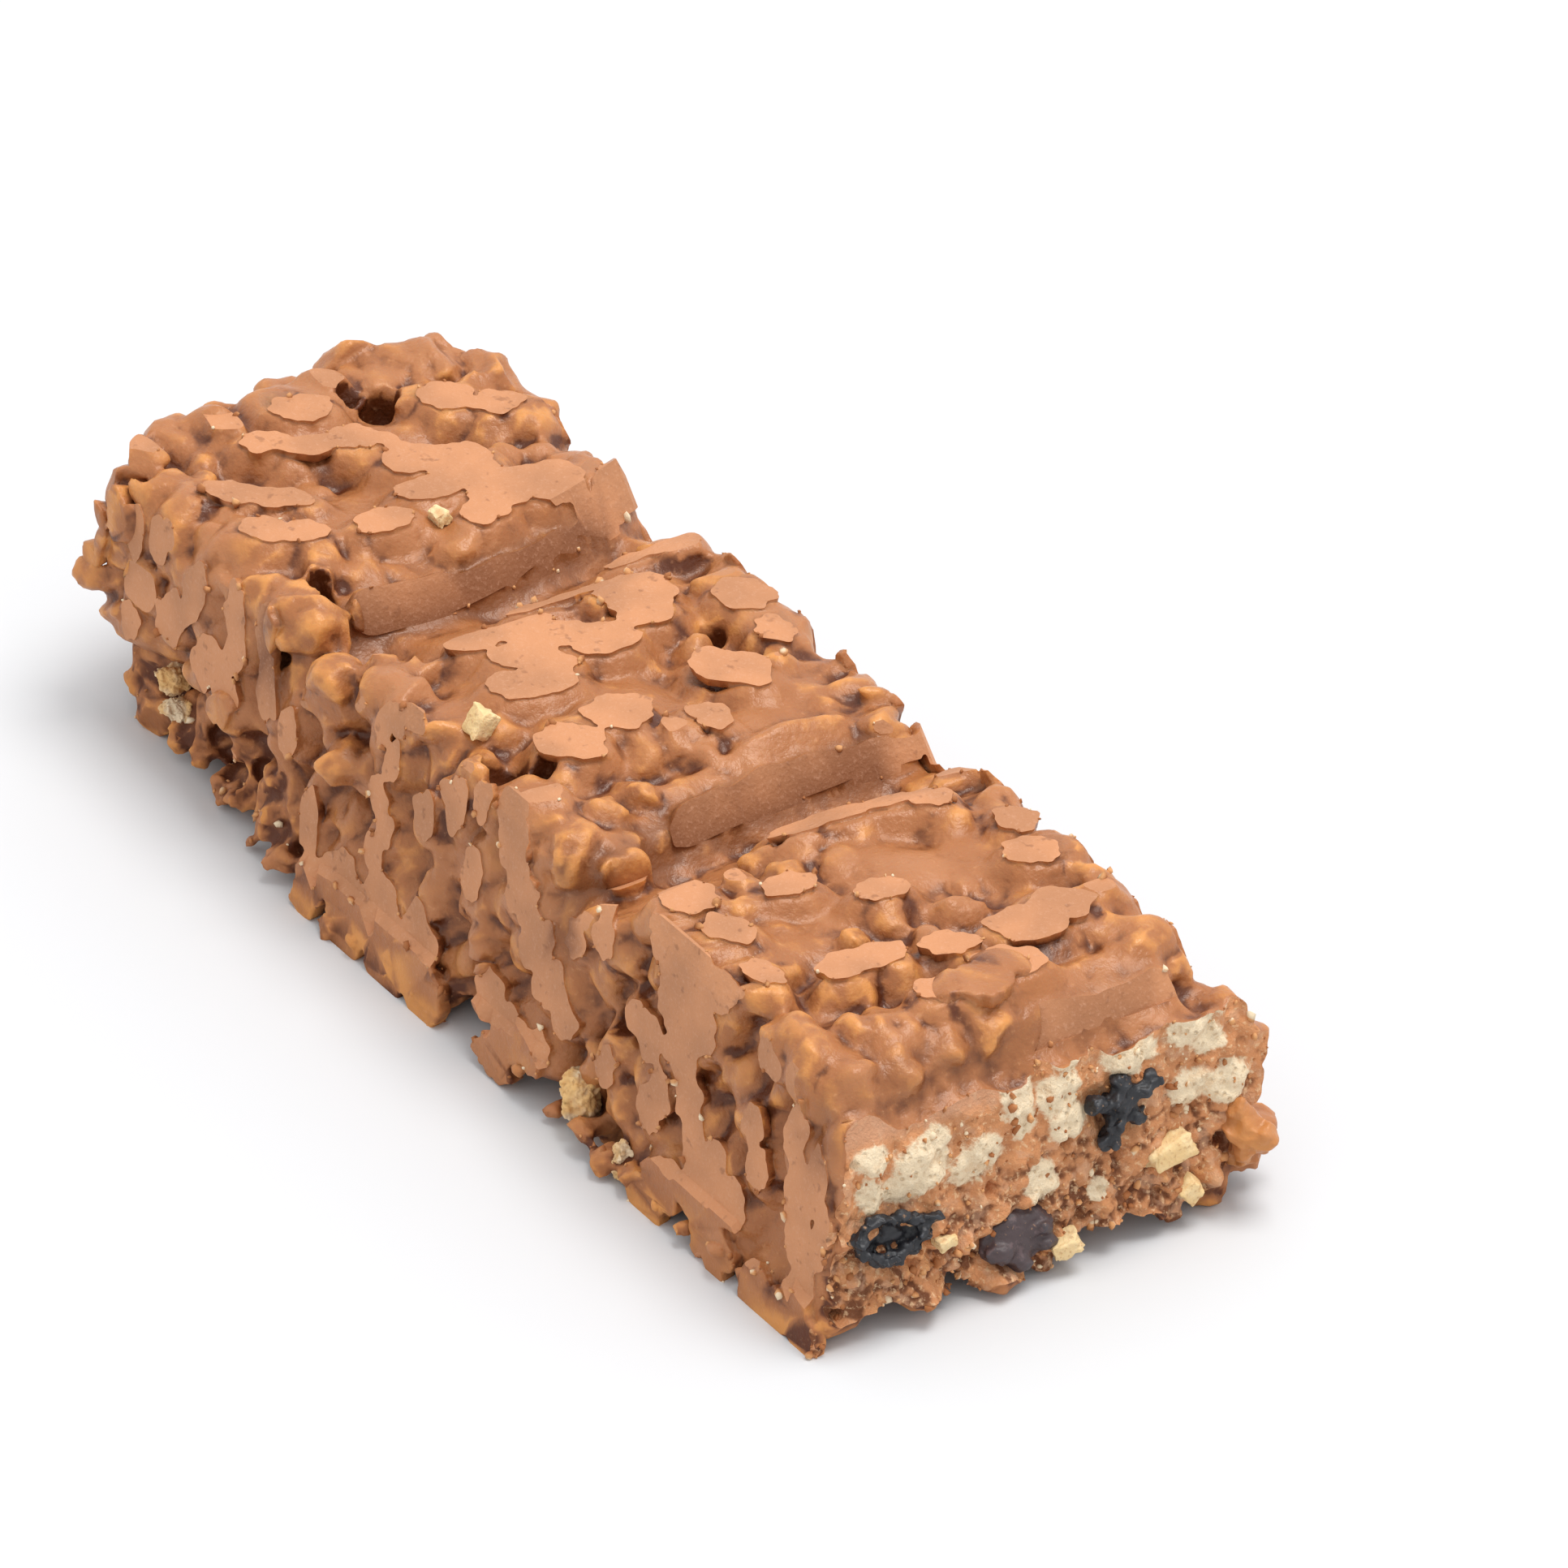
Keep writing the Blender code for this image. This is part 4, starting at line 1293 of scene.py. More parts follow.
def make_mould(materials):
    """The space inside the mould, let out round each crisp that stands past it."""
    shape = bmesh.new()
    outward = make_block(
        shape, MOULD_SPACING, lambda x, across, up: mould_place(x, across, up, 0.0, REST_LEVEL)
    )
    for face in shape.faces:
        face.material_index = PRESSED
    mould = new_object("mould", shape, materials)
    places = places_of(mould.data)
    ways = np.array(outward)
    for x, y, z, long_half, _ in foot_crisps():
        reach = long_half + 1.1
        offset = places - np.array((x, y, z))
        along = (offset * ways).sum(axis=1)
        inside = along**2 - (offset**2).sum(axis=1) + reach**2
        out = np.where(inside > 0.0, np.sqrt(np.maximum(inside, 0.0)) - along, 0.0)
        places = places + ways * np.maximum(out, 0.0)[:, None]
    carry_to(mould, places)
    for i, (x, y, z, long_half, _) in enumerate(NUBS):
        heap = Heap("room")
        reach = 1.25 * long_half + 0.4
        heap.pebble((x, y, z), (reach, reach, reach), Euler((0.1, 0.2, 0.1)), 0.0, i, detail=4)
        apply_boolean(mould, "UNION", heap.finish(materials))
    return mould


def make_holes(materials):
    """The holes between crisps, as solids to take away."""
    heap = Heap("holes")
    for i, (x, y, z, radius, depth) in enumerate(PITS):
        outward = Vector((0.0, 0.0, 1.0)) if z > HEIGHT - 2.0 else side_normal(-1.0)
        turn = outward.to_track_quat("Z", "Y").to_euler()
        heap.pebble((x, y, z), (radius, radius, depth), turn, 0.35, 300.0 + i)
    return heap.finish(materials)


def outline_wander(y, z, broad_seed, fine_seed):
    """How far the outline of a crisp in the broken face strays here."""
    broad = noise.noise(Vector((0.9 * y, 0.9 * z, broad_seed)))
    fine = noise.noise(Vector((3.0 * y, 3.0 * z, fine_seed)))
    return 0.45 * broad + 0.2 * fine


def cut_patch(y, z):
    """How much of the broken face here is bare crisp, from 0 to 1, and how far that stands out."""
    wander_y = outline_wander(y, z, 3.0, 5.0)
    wander_z = outline_wander(y, z, 8.0, 9.0)
    most, stand = 0.0, 0.0
    for middle_y, middle_z, wide, high, out in CUT_CRISPS:
        away = math.hypot((y + wander_y - middle_y) / wide, (z + wander_z - middle_z) / high)
        share = ramp(away, 1.28, 0.72)
        if share > most:
            most, stand = share, out * smooth_ramp(away, 1.15, 0.55)
    return most, stand


def smooth_rim(y, z):
    """Where the broken chocolate under the top is smooth: near the top edge on the side that shows."""
    return smooth_ramp(z, HEIGHT - 6.2, HEIGHT - 5.0) * smooth_ramp(y, 0.5, -2.5)


def cut_crumbs(y, z):
    """The broken face's finest relief, from about -1 to 1: packed crumbs, coarser and deeper low down."""
    place = Vector((y, z, 0.0))
    low = ramp(z, 11.0, 4.0)
    place += 0.35 * noise.noise_vector(place * 1.3)
    coarse = crumbly(place + Vector((0.0, 0.0, 3.0)), 2.1) - 0.6
    fine = crumbly(place + Vector((0.0, 0.0, 7.0)), 0.9) - 0.55
    uneven = noise.noise(Vector((2.2 * y, 2.2 * z, 7.0)))
    height = (0.1 + 0.9 * low) * coarse + (0.15 + 0.35 * low) * fine + 0.5 * uneven
    return height * (1.0 - 0.8 * smooth_rim(y, z))


def cut_relief(y, z):
    """How far the broken face stands out from its plane here."""
    rough = 1.0 - 0.75 * smooth_rim(y, z)
    low = 1.0 + 0.8 * ramp(z, 8.0, 2.0)
    relief = 0.55 * noise.noise(Vector((0.3 * y, 0.3 * z, 5.0))) * low
    relief += 0.42 * noise.noise(Vector((0.8 * y, 0.8 * z, 6.0))) * rough * low
    stand = cut_patch(y, z)[1]
    relief += stand + 0.42 * cut_crumbs(y, z)
    for middle_y, middle_z, radius, out in CUT_LUMPS:
        relief += out * smooth_ramp(math.hypot(y - middle_y, z - middle_z), radius, 0.25 * radius)
    for _, (middle_y, middle_z, wide, high, _, _, out), *_ in RAISINS:
        away = math.hypot((y - middle_y) / (wide + 0.4), (z - middle_z) / (high + 0.4))
        relief -= out * smooth_ramp(away, 1.1, 0.8)
    for middle_y, middle_z, radius, depth in CUT_HOLES:
        relief -= depth * smooth_ramp(math.hypot(y - middle_y, z - middle_z), 1.2 * radius, 0.5 * radius)
    return relief


def make_end_cutter(materials):
    """A block past the broken face, whose near side is the face's own relief."""
    shape = bmesh.new()
    bmesh.ops.create_grid(shape, x_segments=CUTTER_COLUMNS, y_segments=CUTTER_ROWS, size=1.0)
    near_side = shape.verts[:]
    pulled = bmesh.ops.extrude_face_region(shape, geom=shape.faces[:])["geom"]
    far_side = [vert for vert in pulled if isinstance(vert, bmesh.types.BMVert)]
    for vert in near_side:
        y, z = CUTTER_HALF_WIDTH * vert.co.x, 0.5 * HEIGHT + CUTTER_HALF_HEIGHT * vert.co.y
        vert.co = Vector((snap_at(z) + cut_relief(y, z), y, z))
    for vert in far_side:
        y, z = CUTTER_HALF_WIDTH * vert.co.x, 0.5 * HEIGHT + CUTTER_HALF_HEIGHT * vert.co.y
        vert.co = Vector((CUTTER_END, y, z))
    for face in shape.faces:
        face.material_index = BROKEN
    bmesh.ops.recalc_face_normals(shape, faces=shape.faces)
    return new_object("end_cutter", shape, materials)


def crests(target):
    """How far each vertex stands out from a smoothed copy: 0 deep in a crease, 0.5 level, 1 on a crest."""
    smoothed = target.copy()
    smoothed.data = target.data.copy()
    bpy.context.scene.collection.objects.link(smoothed)
    soften(smoothed, 0.6, CREST_ROUNDS)
    stand = places_of(target.data) - places_of(smoothed.data)
    height = (stand * rows_of(target.data, "normal")).sum(axis=1)
    bpy.data.objects.remove(smoothed)
    return np.clip(0.5 + 0.5 * height / CREST_RANGE, 0.0, 1.0)


def nearest_values(old_places, values, target):
    """Values for the target's vertices from the nearest of the old places."""
    tree = kdtree.KDTree(len(old_places))
    for i, place in enumerate(old_places):
        tree.insert(place, i)
    tree.balance()
    return [values[tree.find(vert.co)[1]] for vert in target.data.vertices]


def wall_shade_share(place):
    """How much painted shade lies low on a groove's steep wall: 0 away from it, up to 1 on it."""
    share = 0.0
    for groove, shade_strength in zip(GROOVES, WALL_SHADE):
        along = place.x - groove_bottom(groove, place.y)
        here = smooth_ramp(along, -WALL_RUN - 0.4, -WALL_RUN + 0.6) * smooth_ramp(along, 1.2, 0.2)
        here *= smooth_ramp(place.z, HEIGHT - 1.0, HEIGHT - 2.0) * ramp(place.z, 10.0, 12.0)
        share = max(share, shade_strength * here)
    return share * smooth_ramp(place.y, 11.4, 10.6)


def mark_edges(target):
    """Sharp edges where two kinds of surface meet or a facet folds over, so that each is shaded alone."""
    shape = bmesh.new()
    shape.from_mesh(target.data)
    for edge in shape.edges:
        kinds = {face.material_index for face in edge.link_faces}
        folded = kinds == {PRESSED} and edge.calc_face_angle(0.0) > FOLD_ANGLE
        edge.smooth = len(kinds) < 2 and not folded
    for face in shape.faces:
        face.smooth = True
    shape.to_mesh(target.data)
    shape.free()


def mark_surface(mass, height):
    """Writes what the materials read: crests, which steer painted light and shade, cream crisps, the smooth
    rim, painted shade on the walls, and the foot.
    """
    cream, rim = [0.0] * len(height), [0.0] * len(height)
    broken_faces = [face for face in mass.data.polygons if face.material_index == BROKEN]
    for i in sorted({vertex for face in broken_faces for vertex in face.vertices}):
        _, y, z = mass.data.vertices[i].co
        # The broken face's crumbs, as the crest that steers its painted light and painted shade.
        height[i] = 0.5 + 0.5 * cut_crumbs(y, z)
        cream[i] = cut_patch(y, z)[0]
        rim[i] = smooth_rim(y, z)
    write_attribute(mass, "crest", height)
    write_attribute(mass, "cream", cream)
    write_attribute(mass, "rim", rim)
    # wall: painted shade low on the groove walls
    write_attribute(mass, "wall", [wall_shade_share(vert.co) for vert in mass.data.vertices])
    write_attribute(mass, "foot", [foot_share(vert.co) for vert in mass.data.vertices])


def make_mass(sizes, materials):
    """Core and crisps melted into one mass, plates added, cut flat by the mould and broken at one end."""
    heap = Heap("chocolate_mass")
    heap.take(make_core(sizes))
    add_crisps(heap, sizes)
    mass = heap.finish(materials)
    remesh(mass, sizes.cell / MM)
    apply_boolean(mass, "DIFFERENCE", make_holes(materials))
    soften(mass, 0.5, sizes.flow_rounds)
    roughen(mass)
    old_crests = crests(mass)[::2]
    draw_up(mass)
    old_places = places_of(mass.data)[::2]
    remesh(mass, sizes.cell / MM)
    soften(mass, 0.5, 1)
    apply_boolean(mass, "UNION", make_plates(materials))
    apply_boolean(mass, "INTERSECT", make_mould(materials))
    apply_boolean(mass, "DIFFERENCE", make_end_cutter(materials))
    drop_loose(mass)
    thin_out(mass, sizes.most_triangles)
    if len(mass.data.polygons) < FEWEST_FACES:
        raise RuntimeError("the chocolate mass came out empty")
    mark_surface(mass, nearest_values(old_places, old_crests, mass))
    mark_edges(mass)
    return mass


# ---------------------------------------------------------------- raisins, crisps, nuts and crumbs


def wrinkle(target, depth, size, seed):
    """Pushes each vertex in along its normal where ridged noise makes a fold."""
    offset = Vector((seed, 1.7 * seed, 0.4 * seed))
    folds = [abs(noise.noise(Vector(place) / size + offset)) for place in places_of(target.data)]
    push_in(target, depth * (1.0 - np.minimum(1.0, 3.2 * np.array(folds))))


def make_raisin(name, body, ring, wrinkles, seed):
    """A raisin set in the broken face: a squashed body with folds of skin laid over it, melted together."""
    y, z, wide, high, deep, turn, out = body
    heap = Heap(name)
    tilt = Euler((math.radians(turn), 0.0, 0.0))
    heap.pebble((snap_at(z) - 0.75 * deep + out, y, z), (deep, wide, high), tilt, 0.12, seed, detail=4)
    for i, (fold_y, fold_z, half, fold_out) in enumerate(ring):
        place = (snap_at(fold_z) + fold_out, fold_y, fold_z)
        heap.pebble(place, (FOLD_DEPTH, half, 0.8 * half), Euler((0.0, 0.0, 0.2 * i)), 0.3, seed + i)
    raisin = heap.finish()
    remesh(raisin, RAISIN_CELL)
    drop_loose(raisin)
    soften(raisin, 0.5, 4)
    wrinkle(raisin, wrinkles, 1.5, seed)
    wrinkle(raisin, 0.36 * wrinkles, 0.6, seed + 9.0)
    soften(raisin, 0.5, 1)
    write_attribute(raisin, "fold", crests(raisin))
    return raisin


def make_bare_crisps():
    """Crisps that the chocolate missed, each a porous ball of puffed cereal."""
    heap = Heap("bare_crisps")
    draw = random.Random(BARE_CRISP_SEED)
    for i, (x, y, z, half) in enumerate(BARE_CRISPS):
        halves = (half * draw.uniform(0.95, 1.2), half * 0.9, half * draw.uniform(0.8, 1.0))
        heap.pebble((x, y, z), halves, any_turn(draw), 0.35, 60.0 + i, detail=5)
    crisps = heap.finish()
    wrinkle(crisps, 0.22, 0.75, 4.0)
    wrinkle(crisps, 0.12, 0.3, 6.0)
    return crisps


def make_nut_bits():
    """Broken nut in and on the bar: chunks with flat broken sides and rough corners."""
    heap = Heap("nut_bits")
    draw = random.Random(NUT_SEED)
    for i, (x, y, z, long_half, high_half, turn) in enumerate(NUT_BITS):
        shape = bmesh.new()
        bmesh.ops.create_cube(shape, size=2.0)
        for vert in shape.verts:
            vert.co *= draw.uniform(0.75, 1.12)
        bmesh.ops.bevel(
            shape, geom=shape.edges[:], offset=0.28, offset_type="OFFSET", segments=2, profile=0.5,
            affect="EDGES", material=-1,
        )
        bmesh.ops.triangulate(shape, faces=shape.faces[:])
        bmesh.ops.subdivide_edges(shape, edges=shape.edges[:], cuts=3, use_grid_fill=True)
        for vert in shape.verts:
            vert.co *= 1.0 + 0.24 * noise.noise(vert.co * 2.2 + Vector((i, 2.0 * i, 5.0)))
        where = Matrix.Translation((x, y, z)) @ Matrix.Rotation(math.radians(turn), 4, "X")
        where = where @ Matrix.Rotation(draw.uniform(-0.3, 0.3), 4, "Z")
        halves = Matrix.Diagonal((NUT_DEPTH, long_half, high_half, 1.0))
        bmesh.ops.transform(shape, matrix=where @ halves, verts=shape.verts)
        heap.take(shape)
    return heap.finish()


def make_coated_lumps():
    """Coated crisps that stand out past the corner of the broken face."""
    heap = Heap("coated_lumps")
    for i, (x, y, z, half) in enumerate(COATED_LUMPS):
        halves = (half, 0.9 * half, 0.85 * half)
        turn = Euler((0.3 * i, 0.2, 0.5))
        heap.pebble((x, y, z), halves, turn, 0.4, 90.0 + i, detail=5, grain=1.8)
    lumps = heap.finish()
    remesh(lumps, LUMP_CELL)
    soften(lumps, 0.5, 4)
    wrinkle(lumps, 0.2, 2.2, 3.0)
    soften(lumps, 0.5, 3)
    # Crests raised all over: painted light, so that the lumps take the lit tan of the film's crowns.
    write_attribute(lumps, "crest", 0.62 + 0.38 * crests(lumps))
    return lumps


def crumb_spots(mass, most, draw):
    """Places for grains: where two kinds of surface meet, low on the sides, and on the broken face."""
    mesh = mass.data
    kinds = [set() for _ in mesh.vertices]
    for face in mesh.polygons:
        for vertex in face.vertices:
            kinds[vertex].add(face.material_index)
    edges = [vert for vert in mesh.vertices if len(kinds[vert.index]) > 1]
    low = [vert for vert in mesh.vertices if vert.co.z < 3.0 and vert.normal.z > -0.2]
    on_break = [vert for vert in mesh.vertices if kinds[vert.index] == {BROKEN}]
    for group, share in zip((edges, low, on_break), CRUMB_SHARES):
        for vert in draw.sample(group, min(len(group), int(share * most))):
            yield vert.co.copy(), vert.normal.copy()


def make_crumbs(mass, most):
    """Loose grains of crisp and chocolate, each a rough 20-sided bit that sits on the surface."""
    draw = random.Random(CRUMB_SEED)
    heap = Heap("crumbs")
    for i, (place, normal) in enumerate(crumb_spots(mass, most, draw)):
        half = FINEST_GRAIN + GRAIN_SPREAD * draw.random() ** 3
        halves = (half * draw.uniform(0.9, 1.5), half, half * draw.uniform(0.6, 1.0))
        heap.pebble(place + normal * 0.2 * half, halves, any_turn(draw), 0.9, i, detail=1, grain=1.9)
    return heap.finish()


# ---------------------------------------------------------------- materials


class Number:
    """A number on its way through a shader. Sums on it add Math nodes."""

    def __init__(self, shader, socket):
        self.shader = shader
        self.socket = socket

    def __add__(self, other):
        return self.shader.math("ADD", self, other)

    __radd__ = __add__

    def __sub__(self, other):
        return self.shader.math("SUBTRACT", self, other)

    def __rsub__(self, other):
        return self.shader.math("SUBTRACT", other, self)

    def __mul__(self, other):
        return self.shader.math("MULTIPLY", self, other)

    __rmul__ = __mul__

    def between(self, low, high):
        """0 up to the low value, 1 from the high one, and smooth between them."""
        settings = {"interpolation_type": "SMOOTHSTEP"}
        inputs = {"Value": self, "From Min": low, "From Max": high}
        return self.shader.add("ShaderNodeMapRange", settings, inputs)


class Shader:
    """A material whose nodes are added by expressions."""

    def __init__(self, name):
        self.material = bpy.data.materials.new(name)
        self.material.use_nodes = True
        self.tree = self.material.node_tree
        self.tree.nodes.clear()
        self.place = self.add("ShaderNodeTexCoord", {}, {}, output="Object")

    def add(self, kind, settings, inputs, output=0):
        """Adds a node: its settings first, then the values or links of its sockets. Gives one output."""
        node = self.tree.nodes.new(kind)
        for name, value in settings.items():
            setattr(node, name, value)
        for name, value in inputs.items():
            if isinstance(value, Number):
                self.tree.links.new(value.socket, node.inputs[name])
            elif node.inputs[name].type == "RGBA":
                node.inputs[name].default_value = (*value[:3], 1.0)
            else:
                node.inputs[name].default_value = value
        return Number(self, node.outputs[output]) if node.outputs else node

    def math(self, operation, first, second):
        """One sum on two numbers."""
        return self.add("ShaderNodeMath", {"operation": operation}, {0: first, 1: second})

    def noise(self, size, detail=2.0, rough=0.5):
        """Noise from 0 to 1 with features of about this size in millimetres."""
        inputs = {"Vector": self.place, "Scale": 1.0 / (size * MM), "Detail": detail, "Roughness": rough}
        return self.add("ShaderNodeTexNoise", {}, inputs)

    def cells(self, size):
        """Distance to the nearest of scattered points of about this spacing in millimetres."""
        return self.add("ShaderNodeTexVoronoi", {}, {"Vector": self.place, "Scale": 1.0 / (size * MM)})

    def attribute(self, name):
        """A number kept on the mesh."""
        return self.add("ShaderNodeAttribute", {"attribute_name": name}, {}, output="Fac")

    def blend(self, share, first, second):
        """From the first colour to the second by a share."""
        settings = {"data_type": "RGBA", "clamp_factor": True}
        return self.add("ShaderNodeMix", settings, {0: share, 6: first, 7: second}, output=2)

    def layered(self, colour, *layers):
        """A colour with others laid over it in turn, each by its own share."""
        for share, tint in layers:
            colour = self.blend(share, colour, tint)
        return colour

    def bump(self, height, depth, under=None):
        """Relief of this depth in millimetres where the height goes from 0 to 1, on top of other relief."""
        inputs = {"Height": height, "Distance": depth * MM}
        if under:
            inputs["Normal"] = under
        return self.add("ShaderNodeBump", {}, inputs)

    def finish(self, colour, rough, normal, **constants):
        """The surface, with values that are the same all over set on its own sockets."""
        inputs = {"Base Color": colour, "Roughness": rough, "Normal": normal}
        for name, value in constants.items():
            inputs[name.replace("_", " ")] = value
        surface = self.add("ShaderNodeBsdfPrincipled", {}, inputs)
        self.add("ShaderNodeOutputMaterial", {}, {"Surface": surface})
        return self.material


def scaled(colour, factor):
    """A paler or darker version of a colour."""
    return tuple(min(1.0, factor * part) for part in colour)


def film_material(colours):
    """Glossy film over the crisps: tan on crests, partly painted light; painted shade in creases and low on
    groove walls; pinkish brown between.
    """
    shader = Shader("milk_film")
    foot = shader.attribute("foot")
    broad = shader.noise(7.0, 2.0)
    patchy = shader.noise(2.2, 3.0, 0.6)
    fine = shader.noise(0.5, 3.0, 0.6)
    # level: the relief that steers painted light on crowns and painted shade in creases
    level = shader.attribute("crest") + 0.26 * (patchy - 0.5) + 0.16 * (fine - 0.5)
    # crest: thin film over a crisp, and painted light on its crown
    crest = level.between(0.52, 0.80) * broad.between(0.66, 0.40)
    colour = shader.layered(
        colours.film,
        # painted shade in the creases between crisps
        (level.between(0.49, 0.20), colours.crease),
        # painted shade low on the groove walls
        (shader.attribute("wall") * 0.85, colours.wall),
        (broad.between(0.42, 0.70) * level.between(0.40, 0.55) * 0.45, colours.pressed),
        # crowns: partly thin film, partly painted light
        (crest * 0.90, colours.crest),
        # painted shade in the creases of the crumbly foot
        (foot * level.between(0.62, 0.30) * 0.5, colours.crease),
        (fine.between(0.60, 0.80) * 0.25, FILM_FLECK),
    )
    rough = 0.29 + 0.14 * patchy.between(0.40, 0.70) + 0.10 * fine + 0.25 * foot
    normal = shader.bump(patchy, 0.16, under=shader.bump(fine, 0.09))
    return shader.finish(
        colour, rough, normal, Specular_IOR_Level=0.5, Specular_Tint=FILM_GLINT,
        Subsurface_Weight=0.12, Subsurface_Radius=FILM_GLOW, Subsurface_Scale=MM,
    )


def pressed_material(colours):
    """Matte chocolate that lay flat against the mould: an even tan with a fine grain and faint specks, and
    painted shade low on a groove wall.
    """
    shader = Shader("pressed_facet")
    broad = shader.noise(6.0, 2.0)
    grain = shader.noise(0.28, 2.0, 0.7)
    specks = shader.noise(0.9, 2.0, 0.6)
    colour = shader.layered(
        scaled(colours.pressed, 0.86),
        (broad.between(0.35, 0.65), scaled(colours.pressed, 1.12)),
        (specks.between(0.62, 0.74) * 0.35, colours.crease),
        # painted shade where a strip lies low on a groove wall
        (shader.attribute("wall") * 0.92, colours.wall),
        (grain.between(0.50, 0.80) * 0.30, PRESSED_GRAIN),
    )
    normal = shader.bump(specks, 0.10, under=shader.bump(grain, 0.05))
    return shader.finish(colour, 0.58 + 0.10 * specks, normal, Specular_IOR_Level=0.4)


def broken_material(colours):
    """The broken face: crumbly brown with painted light on its crumbs' crowns and painted shade in their
    creases, porous cream crisps, and smoother chocolate at the rim.
    """
    shader = Shader("broken_mass")
    broad = shader.noise(3.6, 2.0)
    patchy = shader.noise(1.3, 3.0, 0.6)
    fine = shader.noise(0.42, 3.0, 0.65)
    grain = shader.noise(0.2, 2.0, 0.6)
    pores = shader.cells(0.62)
    rim = shader.attribute("rim")
    level = shader.attribute("crest") + 0.30 * (patchy - 0.5) + 0.25 * (fine - 0.5)
    cream = (shader.attribute("cream") + 0.90 * (fine - 0.5) + 0.55 * (patchy - 0.5)).between(0.26, 0.70)
    crumb = shader.layered(
        CRISP_PORE,
        (0.4 + 0.6 * pores.between(0.02, 0.40), colours.crisp),
        (patchy.between(0.55, 0.68) * 0.5, CRISP_STAIN),
        (grain.between(0.50, 0.75) * 0.7, CRISP_GLEAM),
        (fine.between(0.42, 0.28) * 0.4, CRISP_SHADE),
    )
    colour = shader.layered(
        colours.broken,
        (broad.between(0.35, 0.65), scaled(colours.broken, 1.25)),
        # painted light on the crumbs' crowns
        (level.between(0.55, 0.85) * 0.7, BROKEN_CREST),
        # painted shade in the crumbs' creases
        (level.between(0.42, 0.12) * 0.85, colours.crease),
        (patchy.between(0.50, 0.64) * 0.45, BROKEN_PATCH),
        (fine.between(0.54, 0.68) * 0.60, BROKEN_FLECK),
        (rim * 0.75, BROKEN_RIM),
        (cream, crumb),
    )
    normal = shader.bump(fine + 0.5 * grain - cream * 0.7 * pores.between(0.35, 0.0), 0.16)
    rough = 0.72 - 0.18 * rim + 0.1 * cream
    return shader.finish(colour, rough, normal, Specular_IOR_Level=0.3)


def crisp_material(colours):
    """Bare puffed cereal: cream, darker at its pores, with toasted patches and a dusting of chocolate."""
    shader = Shader("bare_crisp")
    broad = shader.noise(2.0, 2.0)
    fine = shader.noise(0.4, 3.0, 0.65)
    pores = shader.cells(0.5)
    colour = shader.layered(
        CRISP_HOLLOW,
        (pores.between(0.0, 0.4), colours.crisp),
        (broad.between(0.32, 0.56) * 0.85, CRISP_TOAST),
        (fine.between(0.56, 0.72) * 0.5, CRISP_DUST),
    )
    normal = shader.bump(fine - pores * 0.5, 0.12)
    return shader.finish(colour, 0.68 + 0.1 * fine, normal, Specular_IOR_Level=0.3)


def nut_material(colours):
    """Broken nut: pale yellow, with toasted edges and smears of chocolate."""
    shader = Shader("broken_nut")
    broad = shader.noise(1.7, 2.0)
    fine = shader.noise(0.35, 3.0, 0.6)
    colour = shader.layered(
        NUT_PALE,
        (broad.between(0.38, 0.66), colours.nut),
        (broad.between(0.42, 0.30) * 0.6, NUT_TOAST),
        (fine.between(0.54, 0.70) * 0.6, NUT_SMEAR),
    )
    return shader.finish(
        colour, 0.5 + 0.2 * broad, shader.bump(fine, 0.14), Specular_IOR_Level=0.4,
        Subsurface_Weight=0.1, Subsurface_Radius=NUT_GLOW, Subsurface_Scale=MM,
    )


def raisin_material(name, skin, flesh, share):
    """Wrinkled raisin: dark skin, slate grey on the crowns of its folds, and flesh where it is torn."""
    shader = Shader(name)
    patchy = shader.noise(1.1, 3.0, 0.6)
    fine = shader.noise(0.3, 2.0, 0.6)
    fold_slate = (shader.attribute("fold") + 0.5 * (patchy - 0.5)).between(0.55, 0.95)
    torn = (patchy + 0.25 * (fine - 0.5)).between(1.0 - share, 1.08 - share)
    colour = shader.layered(
        skin,
        (fold_slate * 0.55, RAISIN_FOLD_SLATE),
        (torn, flesh),
        (fine.between(0.66, 0.76) * 0.5, RAISIN_DUST),
    )
    return shader.finish(colour, 0.36 + 0.25 * patchy, shader.bump(fine, 0.05), Specular_IOR_Level=0.5)


def crumb_material(colours):
    """Loose grains: tan, brown and cream from one grain to the next."""
    shader = Shader("loose_crumb")
    broad = shader.noise(1.3, 0.0)
    fine = shader.noise(0.15, 2.0)
    colour = shader.layered(
        colours.film,
        (broad.between(0.40, 0.55), CRUMB_TAN),
        (broad.between(0.60, 0.68), colours.crisp),
    )
    return shader.finish(colour, 0.6 + 0.2 * fine, shader.bump(fine, 0.03), Specular_IOR_Level=0.3)


def floor_material(colour):
    """Plain matte floor, with the faintest unevenness."""
    shader = Shader("pale_floor")
    broad = shader.noise(400.0, 1.0)
    tint = shader.blend(broad, colour, scaled(colour, 0.99))
    normal = shader.bump(shader.noise(3.0), 0.01)
    return shader.finish(tint, 0.85 + 0.05 * broad, normal, Specular_IOR_Level=0.2)


# ---------------------------------------------------------------- operators


class CEREALBAR_OT_mass(bpy.types.Operator):
    """Builds the chocolate mass with its coated crisps, facets, grooves and broken face"""

    bl_idname = "cereal_bar.mass"
    bl_label = "Chocolate Mass"

    def execute(self, context):
        scene = context.scene
        colours = scene.cereal_bar_colours
        materials = (film_material(colours), pressed_material(colours), broken_material(colours))
        mass = make_mass(scene.cereal_bar_sizes, materials)
        crumbs = make_crumbs(mass, scene.cereal_bar_sizes.crumb_count)
        settle(mass)
        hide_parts("bar")
        settle(crumbs, crumb_material(colours))
        return {"FINISHED"}


